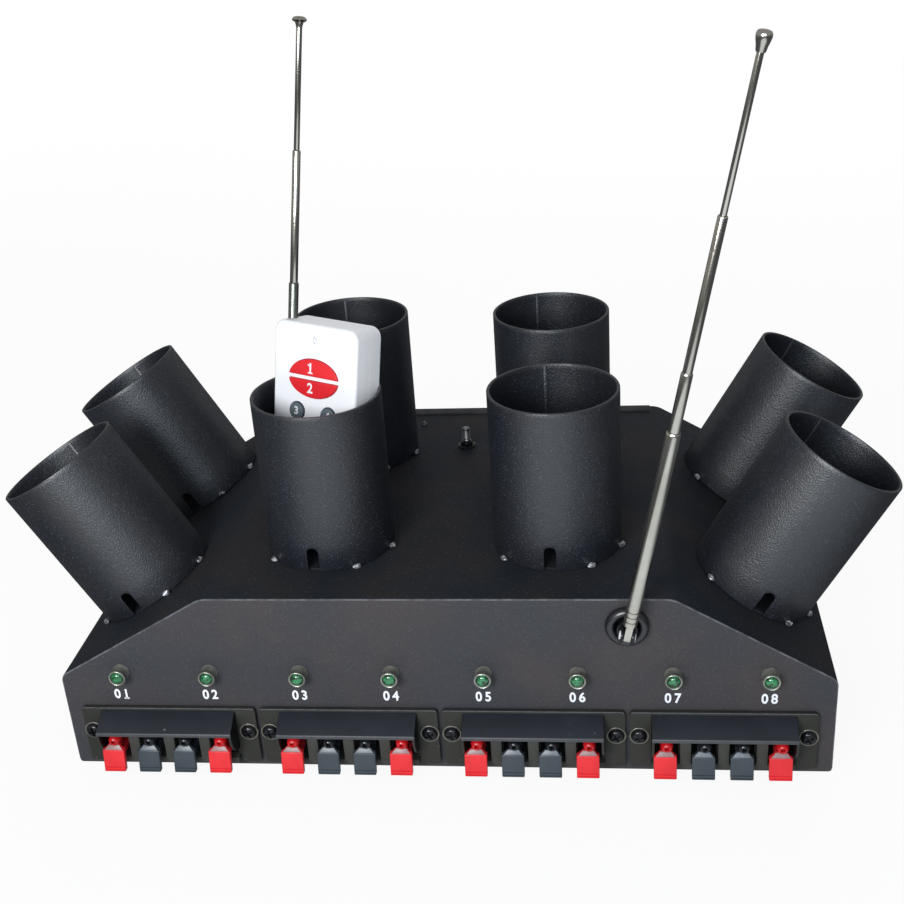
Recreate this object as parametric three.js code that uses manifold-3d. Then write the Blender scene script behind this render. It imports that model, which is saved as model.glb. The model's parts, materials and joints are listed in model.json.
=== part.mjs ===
// Eight-cue wireless launcher base for spark cartridges, with the hand remote that fires it.
// Millimetres, +Z up. The front panel faces -Y, and Z is zero at the floor that the feet stand on.
import * as THREE from "three";
import { mergeVertices } from "three/addons/utils/BufferGeometryUtils.js";
import Module from "manifold-3d";

const wasm = await Module();
wasm.setup();
const { degToRad } = THREE.MathUtils;

// Fits shared by all pieces
const CLEARANCE = 0.3;
const SLIDE_GAP = 0.15;
const OVERRUN = 2;
const FINE_STEPS = 28;
const ROUND_STEPS = 16;
const SMALL_STEPS = 10;
const COARSE_STEPS = 8;
const TINY_STEPS = 6;
const KEY_CURVE = 6;

// Effect tubes, which set the size of the decks that carry them
const TUBE_RADIUS = 26.2;
const TUBE_WALL = 1.3;
const TUBE_HEIGHT = 67.6;
const FIRST_DECK_TUBE = 3;
const FRONT_PAIR_GAP = 42.2;
const BACK_PAIR_GAP = 39.4;
const BACK_PAIR_SHIFT = -2.8;
const ROW_GAP = 37.8;
const SLOT_WIDTH = 4.8;
const SLOT_HEIGHT = 10.4;
const BEAD_RADIUS = 2;
const BEAD_ANGLES = [5, 60, 150, 245].map(degToRad);
const BEAD_LENGTH_SHARE = 1.35;
const BEAD_LIFT_SHARE = 0.8;

// Housing
const FRONT_MARGIN = 20.8;
const BACK_MARGIN = 20.6;
const DECK_MARGIN = 18.9;
const SLOPE_TOP_MARGIN = 13.1;
const SLOPE_FOOT_MARGIN = 7.9;
const SLOPE_ANGLE = degToRad(30);
const SIDE_HEIGHT = 43.6;
const SHEET = 1.5;
const SEAT_HEIGHT = 0.6;
const SEAT_ROOM = 0.6;
const BEND_SETBACK = 2.6;
const CORNER_SETBACK = 1.6;

// Stud on the deck
const STUD_SHIFT = 0.8;
const STUD_BACK = 44;
const STUD_RADIUS = 1.9;
const STUD_HEIGHT = 11;
const STUD_CHAMFER = 0.5;
const NUT_RADIUS = 3.9;
const NUT_HEIGHT = 3;
const WASHER_RADIUS = 4.5;
const WASHER_HEIGHT = 0.9;

// Base plate and feet
const PLATE_FLANGE = 12;
const FOOT_HEIGHT = 4;
const FOOT_RADIUS = 8.5;
const FOOT_TOP_RADIUS = 9.5;
const FOOT_RECESS_RADIUS = 3;
const FOOT_RECESS = 2;
const FOOT_STEM_RADIUS = 2.8;
const FOOT_LIP_RADIUS = 4;
const FOOT_LIP = 1.6;
const FOOT_INSET = 24;

// Cue lamps
const LAMP_COUNT = 8;
const LAMP_INSET = 26.1;
const LAMP_LIFT = 18.2;
const LAMP_HOLE_RADIUS = 3.3;
const LAMP_FLANGE_RADIUS = 4.3;
const LAMP_FLANGE = 0.9;
const BEZEL_RADIUS = 3.65;
const BEZEL_LENGTH = 5.6;
const LENS_RADIUS = 2.5;
const LENS_RECESS = 1.2;
const LENS_REACH = 6.8;
const LENS_CROWN_SHARE = 0.75;
const LAMP_NUT_RADIUS = 4.8;
const LAMP_NUT = 2.4;
const LAMP_TAIL = 9;

// Terminal blocks
const BLOCK_COUNT = 4;
const BLOCK_MARGIN = 6.9;
const BLOCK_GAP = 1.8;
const BLOCK_RISE = 3;
const BLOCK_HEIGHT = 26.6;
const BLOCK_PLATE = 2.1;
const BLOCK_CORNER = 3;
const SCREW_INSET = 3.6;
const SCREW_RISE = 15.4;
const SCREW_HEAD_RADIUS = 3.5;
const SCREW_HEAD = 2;
const SCREW_CROWN = 0.7;
const HOOD_REACH = 12;
const HOOD_DROP = 0.8;
const HOOD_FALL = 5.2;
const HOOD_SHEET = 1.6;
const CHEEK_WALL = 1.1;
const CHEEK_MID_REACH = 11.4;
const CHEEK_MID_RISE = 14.5;
const CHEEK_LOW_REACH = 6.6;
const CHEEK_LOW_RISE = 9;
const CHEEK_FOOT_RISE = 7;
const SILL_REACH = 3.7;
const SILL_RISE = 0.8;
const SILL_HEIGHT = 2.8;
const MOUTH_RISE = 4.6;
const MOUTH_HEIGHT = 14.2;
const POCKET_DEPTH = 8;
const BODY_WALL = 1.4;
const BODY_SIDE_WALL = 2.8;
const BODY_FLOOR = 3;
const LUG_WIDTH = 2.8;
const LUG_LENGTH = 6;
const LUG_SHEET = 0.8;

// Terminal levers
const LEVER_COUNT = 4;
const LEVER_WIDTH = 9;
const LEVER_GAP = 5.9;
const TAB_REACH = 12.4;
const TAB_BACK = 6;
const TAB_LOW = 1.6;
const TAB_TOP = 11.4;
const SHOULDER_REACH = 9;
const SHOULDER_TOP = 12.8;
const TAB_EDGE = 0.5;
const GRIP_PITCH = 1.7;
const GRIP_WIDTH = 0.7;
const GRIP_DEPTH = 0.5;
const NECK_WIDTH = 5;
const NECK_HEIGHT = 3.2;
const PIVOT_DEPTH = 0.5;
const PIVOT_RISE = 8;
const PIVOT_RADIUS = 1.4;
const SNOUT_RADIUS = 2.3;
const SNOUT_BORE = 1.3;
const SNOUT_RISE = 15;
const SNOUT_REACH = 10.6;
const SNOUT_BACK = 4.6;

// Antenna on the front panel
const ANTENNA_INSET = 17.4;
const ANTENNA_DROP = 11.3;
const ANTENNA_REACH = 8;
const ANTENNA_LEAN = degToRad(11.1);
const GROMMET_RADIUS = 8.2;
const GROMMET_NECK_RADIUS = 6;
const GROMMET_PROUD = 2.6;
const GROMMET_EDGE = 1.4;
const GROMMET_LIP = 1.8;
const SHANK_RADIUS = 4.1;
const COLLAR_RADIUS = 6.2;
const COLLAR = 2;
const EAR_RADIUS = 2.9;
const EAR_SHEET = 1.1;
const EAR_ROOT = 3.3;
const EAR_WEB = 1.5;
const EYE_THICKNESS = 2.9;
const PIN_RADIUS = 1;
const PIN_HEAD_RADIUS = 1.7;
const PIN_HEAD = 0.4;
const EYE_TOP = 5;
const EYE_WEB = 0.5;
const GROOVE_COUNT = 3;
const GROOVE_DEPTH = 0.4;
const GROOVE_WIDTH = 0.7;
const GROOVE_PITCH = 2.2;
const GROOVE_START = 7;
const ANTENNA_ROOT_RADIUS = 2.4;
const ANTENNA_MIDDLE_RADIUS = 1.78;
const ANTENNA_TIP_RADIUS = 1.2;
const ANTENNA_ROOT_LENGTH = 86.2;
const ANTENNA_MIDDLE_LENGTH = 78;
const ANTENNA_TIP_LENGTH = 58.2;
const ANTENNA_BORE_FLOOR = 15;
const ANTENNA_HOLD = 8;
const ANTENNA_CRIMP = 0.25;
const ANTENNA_PLUG = 1;
const KNOB_RADIUS = 2.6;
const KNOB_LENGTH = 8.6;
const KNOB_NECK = 2;
const KNOB_EDGE = 0.6;

// Remote
const REMOTE_ROOM = 8.8;
const REMOTE_LENGTH = 93;
const REMOTE_THICKNESS = 17;
const REMOTE_CORNER = 5;
const REMOTE_EDGE = 3.6;
const REMOTE_WALL = 1.6;
const REMOTE_TURN = degToRad(-26.5);
const OVAL_DROP = 21.7;
const OVAL_HALF_WIDTH = 12.1;
const OVAL_HALF_HEIGHT = 7.8;
const OVAL_BAR = 1.8;
const KEY_DROP = 35.8;
const KEY_SIDE = 7.8;
const KEY_RADIUS = 3.6;
const BUTTON_GAP = 0.25;
const BUTTON_PROUD = 0.8;
const BUTTON_FLANGE = 0.55;
const BUTTON_FLANGE_SHEET = 0.8;
const PILOT_DROP = 6.9;
const PILOT_RADIUS = 1.1;
const REMOTE_ANTENNA_SIDE = -15.5;
const REMOTE_ANTENNA_DEPTH = -1.5;
const STUB_RADIUS = 2;
const STUB_LENGTH = 12.3;
const WAND_RADIUS = 1.6;
const WAND_LENGTH = 53.4;
const WAND_TIP_RADIUS = 1.15;
const WAND_TIP_LENGTH = 49.6;
const REMOTE_ANTENNA_SUNK = 53;
const REMOTE_ANTENNA_HOLD = 8;
const CAP_RADIUS = 2.8;
const CAP_HEIGHT = 3;
const CAP_CROWN = 0.9;

// Power switch on the back panel
const SWITCH_INSET = 52;
const SWITCH_RISE = 24;
const SWITCH_WIDTH = 15;
const SWITCH_HEIGHT = 21;
const SWITCH_BEZEL = 2;
const SWITCH_BODY_WIDTH = 12.6;
const SWITCH_BODY_HEIGHT = 18.8;
const SWITCH_BODY_DEPTH = 15;
const SWITCH_WALL = 1.2;
const ROCKER_PLAY = 0.8;
const ROCKER_TIP = 3.2;
const ROCKER_DIP = 1.8;
const ROCKER_HEEL = 1.5;
const ROCKER_TAPER = 1;
const ROCKER_KEEL = 3;
const ROCKER_DROP = 2;
const ROCKER_TILT = degToRad(8);

// Battery pack and receiver board, side by side on the base plate
const BAY_SPLIT = -14.5;
const BAY_GAP = 13.5;
const BATTERY_WIDTH = 97;
const BATTERY_DEPTH = 43;
const BATTERY_HEIGHT = 52;
const BATTERY_FRONT = 98.5;
const BATTERY_EDGE = 2;
const BATTERY_TAB = 6.4;
const BATTERY_TAB_HEIGHT = 4.5;
const BATTERY_TAB_INSET = 16;
const CRADLE_HEIGHT = 8;
const CRADLE_WIDTH = 30;
const BOARD_WIDTH = 112;
const BOARD_DEPTH = 70;
const BOARD_SHEET = 1.6;
const BOARD_FRONT = 57;
const POST_HEIGHT = 7;
const POST_RADIUS = 3.2;
const POST_INSET = 5;
const RELAY_COUNT = 8;
const RELAY_WIDTH = 9.6;
const RELAY_DEPTH = 18;
const RELAY_HEIGHT = 15;
const RELAY_GAP = 2.8;
const CHIP_WIDTH = 26;
const CHIP_DEPTH = 8;
const CHIP_HEIGHT = 4;
const RADIO_WIDTH = 18;
const RADIO_DEPTH = 28;
const RADIO_HEIGHT = 7;
const RADIO_SIDE = 32;

// Sizes and places that follow for the housing and its tubes
const TUBE_BORE = TUBE_RADIUS - TUBE_WALL;
const FRONT_ROW = FRONT_MARGIN + TUBE_RADIUS;
const BACK_ROW = FRONT_ROW + 2 * TUBE_RADIUS + ROW_GAP;
const FRONT_PAIR_HALF = FRONT_PAIR_GAP / 2 + TUBE_RADIUS;
const BACK_PAIR_HALF = BACK_PAIR_GAP / 2 + TUBE_RADIUS;
const SLOPE_TUBE_RUN = SLOPE_TOP_MARGIN + TUBE_RADIUS;
const SLOPE_LENGTH = SLOPE_TUBE_RUN + TUBE_RADIUS + SLOPE_FOOT_MARGIN;
const DECK_HALF = FRONT_PAIR_HALF + TUBE_RADIUS + DECK_MARGIN;
const DECK_HEIGHT = SIDE_HEIGHT + SLOPE_LENGTH * Math.sin(SLOPE_ANGLE);
const HOUSING_WIDTH = 2 * (DECK_HALF + SLOPE_LENGTH * Math.cos(SLOPE_ANGLE));
const HOUSING_DEPTH = BACK_ROW + TUBE_RADIUS + BACK_MARGIN;
const DECK_PLACES = [
  [-FRONT_PAIR_HALF, FRONT_ROW],
  [BACK_PAIR_SHIFT - BACK_PAIR_HALF, BACK_ROW],
  [FRONT_PAIR_HALF, FRONT_ROW],
  [BACK_PAIR_SHIFT + BACK_PAIR_HALF, BACK_ROW],
];
const SLOPE_PLACE = {
  run: DECK_HALF + SLOPE_TUBE_RUN * Math.cos(SLOPE_ANGLE),
  rise: DECK_HEIGHT - SLOPE_TUBE_RUN * Math.sin(SLOPE_ANGLE),
};

// And for what the panels carry
const BLOCK_WIDTH = (HOUSING_WIDTH - 2 * BLOCK_MARGIN - (BLOCK_COUNT - 1) * BLOCK_GAP) / BLOCK_COUNT;
const BLOCK_FACE = CLEARANCE + BLOCK_PLATE;
const BLOCK_PLACES = row(BLOCK_COUNT, BLOCK_WIDTH + BLOCK_GAP);
const LEVER_PLACES = row(LEVER_COUNT, LEVER_WIDTH + LEVER_GAP);
const HOOD_HALF = LEVER_PLACES.at(-1) + LEVER_WIDTH / 2 + CLEARANCE + CHEEK_WALL;
const BODY_HALF = LEVER_PLACES.at(-1) + LEVER_WIDTH / 2 + CLEARANCE + BODY_SIDE_WALL;
const BODY_RISE = MOUTH_RISE - BODY_WALL;
const BODY_HEIGHT = MOUTH_HEIGHT + 2 * BODY_WALL;
const BODY_DEPTH = POCKET_DEPTH + BODY_FLOOR;
const LAMP_PLACES = row(LAMP_COUNT, (HOUSING_WIDTH - 2 * LAMP_INSET) / (LAMP_COUNT - 1));
const LAMP_RISE = BLOCK_RISE + BLOCK_HEIGHT + LAMP_LIFT;
const ANTENNA_SIDE = DECK_HALF - ANTENNA_INSET;
const ANTENNA_RISE = DECK_HEIGHT - ANTENNA_DROP;
const ANTENNA_TOP = ANTENNA_ROOT_LENGTH + ANTENNA_MIDDLE_LENGTH + ANTENNA_TIP_LENGTH;
const GROMMET_BORE = SHANK_RADIUS + CLEARANCE;
const SWITCH_SIDE = HOUSING_WIDTH / 2 - SWITCH_INSET;
const ROCKER_HALF = SWITCH_BODY_HEIGHT / 2 - SWITCH_WALL - ROCKER_PLAY;
const ROCKER_REACH = ROCKER_TIP * Math.cos(ROCKER_TILT) + ROCKER_HALF * Math.sin(ROCKER_TILT);
const MIDDLE = (HOUSING_DEPTH + ROCKER_REACH - TAB_REACH) / 2;

// And for what stands inside
const BATTERY_SIDE = BAY_SPLIT - (BAY_GAP + BATTERY_WIDTH) / 2;
const BATTERY_BACK = BATTERY_FRONT + BATTERY_DEPTH / 2;
const BOARD_SIDE = BAY_SPLIT + (BAY_GAP + BOARD_WIDTH) / 2;
const BOARD_BACK = BOARD_FRONT + BOARD_DEPTH / 2;

// The remote leans until one long edge meets the rim of its tube and the other meets the foot
const REMOTE_WIDTH = 2 * TUBE_BORE - REMOTE_ROOM;
const REMOTE_REST =
  Math.sqrt((TUBE_BORE - CLEARANCE - REMOTE_EDGE) ** 2 - (REMOTE_WIDTH / 2 - REMOTE_EDGE) ** 2) + REMOTE_EDGE;
const REMOTE_LEAN =
  Math.acos(REMOTE_THICKNESS / 2 / Math.hypot(REMOTE_REST, TUBE_HEIGHT / 2))
  - Math.atan2(TUBE_HEIGHT / 2, REMOTE_REST);
const REMOTE_FOOT = (
  TUBE_HEIGHT / 2
  - SEAT_HEIGHT
  + REMOTE_EDGE * (Math.sin(REMOTE_LEAN) + Math.cos(REMOTE_LEAN) - 1)
  - (REMOTE_THICKNESS / 2) * Math.sin(REMOTE_LEAN)
) / Math.cos(REMOTE_LEAN);
const REMOTE_TOP = REMOTE_LENGTH - REMOTE_FOOT;
const REMOTE_FACE = -REMOTE_THICKNESS / 2;

function row(count, pitch) {
  return Array.from({ length: count }, (_, i) => (i - (count - 1) / 2) * pitch);
}

// Finishes
const BLACK_COAT = { color: 0x1b1c1f, roughness: 0.55, metalness: 0.3 };
const TUBE_COAT = { color: 0x202125, roughness: 0.6, metalness: 0.3 };
const BLACK_PLASTIC = { color: 0x1e1f22, roughness: 0.5, metalness: 0 };
const GREY_PLASTIC = { color: 0x2c2f34, roughness: 0.45, metalness: 0 };
const RED_PLASTIC = { color: 0xd8262c, roughness: 0.4, metalness: 0 };
const WHITE_PLASTIC = { color: 0xe9e9ea, roughness: 0.4, metalness: 0 };
const KEY_GREY = { color: 0x5e6a70, roughness: 0.5, metalness: 0 };
const LAMP_GREEN = { color: 0x2f9a55, roughness: 0.25, metalness: 0.2 };
const SOFT_RUBBER = { color: 0x131314, roughness: 0.7, metalness: 0 };
const NICKEL = { color: 0xbdb8ad, roughness: 0.22, metalness: 1 };
const ZINC = { color: 0xa9abad, roughness: 0.35, metalness: 1 };
const BATTERY_CASE = { color: 0x35373b, roughness: 0.6, metalness: 0 };
const BOARD_GREEN = { color: 0x1d5b35, roughness: 0.5, metalness: 0 };

// Joining and cutting
function facing(positions, faces) {
  const mesh = new wasm.Mesh({
    numProp: 3,
    vertProperties: positions,
    triVerts: Uint32Array.from(faces),
  });
  return new wasm.Manifold(mesh);
}

function solid(shape) {
  if (!shape.isBufferGeometry) return shape;
  shape.deleteAttribute("normal");
  shape.deleteAttribute("uv");
  const merged = mergeVertices(shape);
  const corners = merged.index.array;
  const faces = [];
  for (let i = 0; i < corners.length; i += 3) {
    const [a, b, c] = corners.slice(i, i + 3);
    if (a !== b && b !== c && c !== a) faces.push(a, b, c);
  }
  const positions = merged.attributes.position.array;
  const made = facing(positions, faces);
  return made.volume() < 0 ? facing(positions, faces.reverse()) : made;
}

function join(...shapes) {
  return shapes.map(solid).reduce((whole, next) => whole.add(next));
}

function cut(body, ...tools) {
  return tools.map(solid).reduce((left, tool) => left.subtract(tool), solid(body));
}

function piece(name, shape, finish) {
  const made = solid(shape).getMesh();
  const geometry = new THREE.BufferGeometry();
  geometry.setAttribute("position", new THREE.BufferAttribute(Float32Array.from(made.vertProperties), 3));
  geometry.setIndex(Array.from(made.triVerts));
  geometry.computeVertexNormals();
  const mesh = new THREE.Mesh(geometry, new THREE.MeshStandardMaterial({ ...finish, flatShading: true }));
  mesh.name = name;
  return mesh;
}

function at(object, x, y, z) {
  object.position.set(x, y, z);
  return object;
}

function group(...members) {
  const made = new THREE.Group();
  if (members.length > 0) made.add(...members);
  return made;
}

// Outlines
function outline(points) {
  return new THREE.Shape(points.map(([u, v]) => new THREE.Vector2(u, v)));
}

function softened(corners, setbacks) {
  const shape = new THREE.Shape();
  const points = corners.map(([u, v]) => new THREE.Vector2(u, v));
  points.forEach((corner, i) => {
    const before = points.at(i - 1);
    const after = points[(i + 1) % points.length];
    const setback = Array.isArray(setbacks) ? setbacks[i] : setbacks;
    const start = corner.clone().add(before.clone().sub(corner).setLength(setback));
    const end = corner.clone().add(after.clone().sub(corner).setLength(setback));
    if (i === 0) shape.moveTo(start.x, start.y);
    else shape.lineTo(start.x, start.y);
    if (setback > 0) shape.quadraticCurveTo(corner.x, corner.y, end.x, end.y);
  });
  shape.closePath();
  return shape;
}

function rectangle(width, height, middleU = 0, middleV = 0) {
  return [
    [middleU - width / 2, middleV - height / 2],
    [middleU + width / 2, middleV - height / 2],
    [middleU + width / 2, middleV + height / 2],
    [middleU - width / 2, middleV + height / 2],
  ];
}

// Solids drawn along an axis
function extruded(shape, depth, curveSegments = 4) {
  return new THREE.ExtrudeGeometry(shape, { depth, bevelEnabled: false, curveSegments });
}

function alongX(shape, left, right, curveSegments) {
  const turned = new THREE.Matrix4().makeBasis(
    new THREE.Vector3(0, 1, 0),
    new THREE.Vector3(0, 0, 1),
    new THREE.Vector3(1, 0, 0),
  );
  return extruded(shape, right - left, curveSegments).applyMatrix4(turned).translate(left, 0, 0);
}

function alongY(shape, near, far, curveSegments) {
  return extruded(shape, far - near, curveSegments).rotateX(Math.PI / 2).translate(0, far, 0);
}

function alongZ(shape, low, high, curveSegments) {
  return extruded(shape, high - low, curveSegments).translate(0, 0, low);
}

function block(width, depth, height, x, y, low) {
  return new THREE.BoxGeometry(width, depth, height).translate(x, y, low + height / 2);
}

function rodX(radius, left, right, y, z, steps = ROUND_STEPS) {
  const rod = new THREE.CylinderGeometry(radius, radius, right - left, steps).rotateZ(Math.PI / 2);
  return rod.translate((left + right) / 2, y, z);
}

function rodY(radius, near, far, x, z, steps = ROUND_STEPS) {
  return new THREE.CylinderGeometry(radius, radius, far - near, steps).translate(x, (near + far) / 2, z);
}

function rodZ(radius, low, high, x, y, steps = ROUND_STEPS) {
  const rod = new THREE.CylinderGeometry(radius, radius, high - low, steps).rotateX(Math.PI / 2);
  return rod.translate(x, y, (low + high) / 2);
}

function turnedProfile(profile, steps = ROUND_STEPS) {
  return new THREE.LatheGeometry(profile.map(([r, h]) => new THREE.Vector2(r, h)), steps);
}

function upright(profile, steps) {
  return turnedProfile(profile, steps).rotateX(Math.PI / 2);
}

function outward(profile, steps) {
  return turnedProfile(profile, steps).rotateX(Math.PI);
}

// Housing shell: one folded wrapper with its front and back panels, open below
function housingOutline(inset, low) {
  const half = HOUSING_WIDTH / 2 - inset;
  const slant = inset / Math.cos(SLOPE_ANGLE);
  const top = DECK_HEIGHT - inset;
  const shoulder = SIDE_HEIGHT + inset * Math.tan(SLOPE_ANGLE) - slant;
  const bend = HOUSING_WIDTH / 2 - (top + slant - SIDE_HEIGHT) / Math.tan(SLOPE_ANGLE);
  const corners = [[half, low], [half, shoulder], [bend, top], [-bend, top], [-half, shoulder], [-half, low]];
  const bends = [CORNER_SETBACK, BEND_SETBACK, BEND_SETBACK, BEND_SETBACK, BEND_SETBACK, CORNER_SETBACK];
  return softened(corners, inset > 0 ? BEND_SETBACK - inset : bends);
}

function deckStud() {
  const foot = DECK_HEIGHT - SHEET / 2;
  const x = STUD_SHIFT;
  const y = HOUSING_DEPTH - STUD_BACK;
  const nutTop = DECK_HEIGHT + WASHER_HEIGHT + NUT_HEIGHT;
  const tip = DECK_HEIGHT + STUD_HEIGHT;
  const stud = upright([
    [0, foot],
    [STUD_RADIUS, foot],
    [STUD_RADIUS, tip - STUD_CHAMFER],
    [STUD_RADIUS - STUD_CHAMFER, tip],
    [0, tip],
  ], SMALL_STEPS);
  return join(
    rodZ(WASHER_RADIUS, foot, DECK_HEIGHT + WASHER_HEIGHT, x, y),
    rodZ(NUT_RADIUS, foot, nutTop, x, y, 6),
    stud.translate(x, y, 0),
  );
}

// A raised round seat under each tube, for the flat end of what stands in it
function tubeSeats() {
  const seat = () => rodZ(TUBE_BORE - SEAT_ROOM, -SHEET / 2, SEAT_HEIGHT, 0, 0);
  const { run, rise } = SLOPE_PLACE;
  const rows = [FRONT_ROW, BACK_ROW];
  const sloped = rows.flatMap((y) =>
    [-1, 1].map((side) => seat().rotateY(side * SLOPE_ANGLE).translate(side * run, y, rise)));
  return [...DECK_PLACES.map(([x, y]) => seat().translate(x, y, DECK_HEIGHT)), ...sloped];
}

function housingShell() {
  const wrapper = alongY(housingOutline(0, 0), 0, HOUSING_DEPTH);
  const inside = alongY(housingOutline(SHEET, -OVERRUN), SHEET, HOUSING_DEPTH - SHEET);
  const bodyCuts = BLOCK_PLACES.map((x) => {
    const window = rectangle(
      2 * (BODY_HALF + CLEARANCE),
      BODY_HEIGHT + 2 * CLEARANCE,
      x,
      BLOCK_RISE + BODY_RISE + BODY_HEIGHT / 2,
    );
    return alongY(outline(window), -OVERRUN, SHEET + OVERRUN);
  });
  const lampCuts = LAMP_PLACES.map((x) =>
    rodY(LAMP_HOLE_RADIUS, -OVERRUN, SHEET + OVERRUN, x, LAMP_RISE, SMALL_STEPS));
  const grommetCut = rodY(
    GROMMET_NECK_RADIUS + CLEARANCE, -OVERRUN, SHEET + OVERRUN, ANTENNA_SIDE, ANTENNA_RISE);
  const switchWindow = rectangle(
    SWITCH_BODY_WIDTH + 2 * CLEARANCE, SWITCH_BODY_HEIGHT + 2 * CLEARANCE, SWITCH_SIDE, SWITCH_RISE);
  const switchCut = alongY(
    outline(switchWindow), HOUSING_DEPTH - SHEET - OVERRUN, HOUSING_DEPTH + OVERRUN);
  const shell = cut(wrapper, inside, ...bodyCuts, ...lampCuts, grommetCut, switchCut);
  return piece("housing_shell", join(shell, deckStud(), ...tubeSeats()), BLACK_COAT);
}

// Base plate: a tray with flanges at its ends, posts for the board and tabs round the battery
function footPlaces() {
  const x = HOUSING_WIDTH / 2 - FOOT_INSET;
  const back = HOUSING_DEPTH - FOOT_INSET;
  return [[-x, FOOT_INSET], [x, FOOT_INSET], [-x, back], [x, back]];
}

function postPlaces() {
  const x = BOARD_WIDTH / 2 - POST_INSET;
  const y = BOARD_DEPTH / 2 - POST_INSET;
  return [[-x, -y], [x, -y], [-x, y], [x, y]].map(([dx, dy]) => [BOARD_SIDE + dx, BOARD_BACK + dy]);
}

function basePlate() {
  const margin = SHEET + CLEARANCE;
  const half = HOUSING_WIDTH / 2 - margin;
  const tray = outline([
    [-half, 0],
    [half, 0],
    [half, PLATE_FLANGE],
    [half - SHEET, PLATE_FLANGE],
    [half - SHEET, SHEET],
    [SHEET - half, SHEET],
    [SHEET - half, PLATE_FLANGE],
    [-half, PLATE_FLANGE],
  ]);
  const posts = postPlaces().map(([x, y]) =>
    rodZ(POST_RADIUS, SHEET / 2, SHEET + POST_HEIGHT, x, y, TINY_STEPS));
  const tabs = [-1, 1].map((side) => {
    const offset = side * (BATTERY_DEPTH / 2 + CLEARANCE + SHEET / 2);
    return block(CRADLE_WIDTH, SHEET, CRADLE_HEIGHT, BATTERY_SIDE, BATTERY_BACK + offset, SHEET / 2);
  });
  const holes = footPlaces().map(([x, y]) =>
    rodZ(FOOT_STEM_RADIUS + CLEARANCE, -OVERRUN, SHEET + OVERRUN, x, y, SMALL_STEPS));
  const sheet = join(alongY(tray, margin, HOUSING_DEPTH - margin), ...posts, ...tabs);
  return piece("base_plate", cut(sheet, ...holes), ZINC);
}

function rubberFoot(index, [x, y]) {
  const seat = FOOT_HEIGHT - CLEARANCE;
  const shelf = FOOT_HEIGHT + SHEET + CLEARANCE;
  const foot = upright([
    [0, FOOT_RECESS],
    [FOOT_RECESS_RADIUS, FOOT_RECESS],
    [FOOT_RECESS_RADIUS, 0],
    [FOOT_RADIUS, 0],
    [FOOT_TOP_RADIUS, seat],
    [FOOT_STEM_RADIUS, seat],
    [FOOT_STEM_RADIUS, shelf],
    [FOOT_LIP_RADIUS, shelf],
    [FOOT_STEM_RADIUS, shelf + FOOT_LIP],
    [0, shelf + FOOT_LIP],
  ], SMALL_STEPS);
  return at(piece(`rubber_foot_${index}`, foot, SOFT_RUBBER), x, y, 0);
}

// Effect tubes: drawn upright on their own foot, then set square to the deck or slope
function effectTube(index) {
  const wall = upright([
    [TUBE_BORE, 0],
    [TUBE_RADIUS, 0],
    [TUBE_RADIUS, TUBE_HEIGHT],
    [TUBE_BORE, TUBE_HEIGHT],
    [TUBE_BORE, 0],
  ], FINE_STEPS);
  const beads = BEAD_ANGLES.map((angle) => {
    const bead = new THREE.SphereGeometry(BEAD_RADIUS, 5, 3);
    bead.scale(1, BEAD_LENGTH_SHARE, BEAD_LIFT_SHARE);
    bead.translate(TUBE_RADIUS + CLEARANCE, 0, BEAD_RADIUS * BEAD_LIFT_SHARE);
    return bead.rotateZ(-angle);
  });
  const slot = new THREE.Shape();
  slot.moveTo(-SLOT_WIDTH / 2, -OVERRUN);
  slot.lineTo(SLOT_WIDTH / 2, -OVERRUN);
  slot.lineTo(SLOT_WIDTH / 2, SLOT_HEIGHT - SLOT_WIDTH / 2);
  slot.absarc(0, SLOT_HEIGHT - SLOT_WIDTH / 2, SLOT_WIDTH / 2, 0, Math.PI, false);
  slot.closePath();
  const slotCut = alongY(slot, -TUBE_RADIUS - OVERRUN, 0, 6);
  return piece(`effect_tube_${index}`, cut(join(wall, ...beads), slotCut), TUBE_COAT);
}

function slopeTube(index, side, y) {
  const { run, rise } = SLOPE_PLACE;
  const stand = at(group(at(effectTube(index), 0, 0, CLEARANCE)), side * run, y, rise);
  stand.rotation.y = side * SLOPE_ANGLE;
  return stand;
}

function deckTube(index, [x, y]) {
  return at(effectTube(index), x, y, DECK_HEIGHT + CLEARANCE);
}

function effectTubes() {
  return group(
    slopeTube(1, -1, FRONT_ROW),
    slopeTube(2, -1, BACK_ROW),
    ...DECK_PLACES.map((place, i) => deckTube(FIRST_DECK_TUBE + i, place)),
    slopeTube(7, 1, FRONT_ROW),
    slopeTube(8, 1, BACK_ROW),
  );
}

// Cue lamps: a round bezel through the panel, its nut behind, and the lens sunk in its mouth
function cueLamp(index, x) {
  const back = -SHEET - CLEARANCE;
  const seat = BEZEL_LENGTH - LENS_RECESS;
  const lamp = outward([
    [0, back - LAMP_TAIL],
    [LENS_RADIUS, back - LAMP_TAIL],
    [LENS_RADIUS, back - LAMP_NUT],
    [LAMP_NUT_RADIUS, back - LAMP_NUT],
    [LAMP_NUT_RADIUS, back],
    [LAMP_HOLE_RADIUS - CLEARANCE, back],
    [LAMP_HOLE_RADIUS - CLEARANCE, CLEARANCE],
    [LAMP_FLANGE_RADIUS, CLEARANCE],
    [BEZEL_RADIUS, CLEARANCE + LAMP_FLANGE],
    [BEZEL_RADIUS, BEZEL_LENGTH],
    [LENS_RADIUS, seat],
    [LENS_RADIUS * LENS_CROWN_SHARE, seat + (LENS_REACH - seat) * LENS_CROWN_SHARE],
    [0, LENS_REACH],
  ], SMALL_STEPS);
  return at(piece(`cue_led_${index}`, lamp, LAMP_GREEN), x, 0, LAMP_RISE);
}

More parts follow.
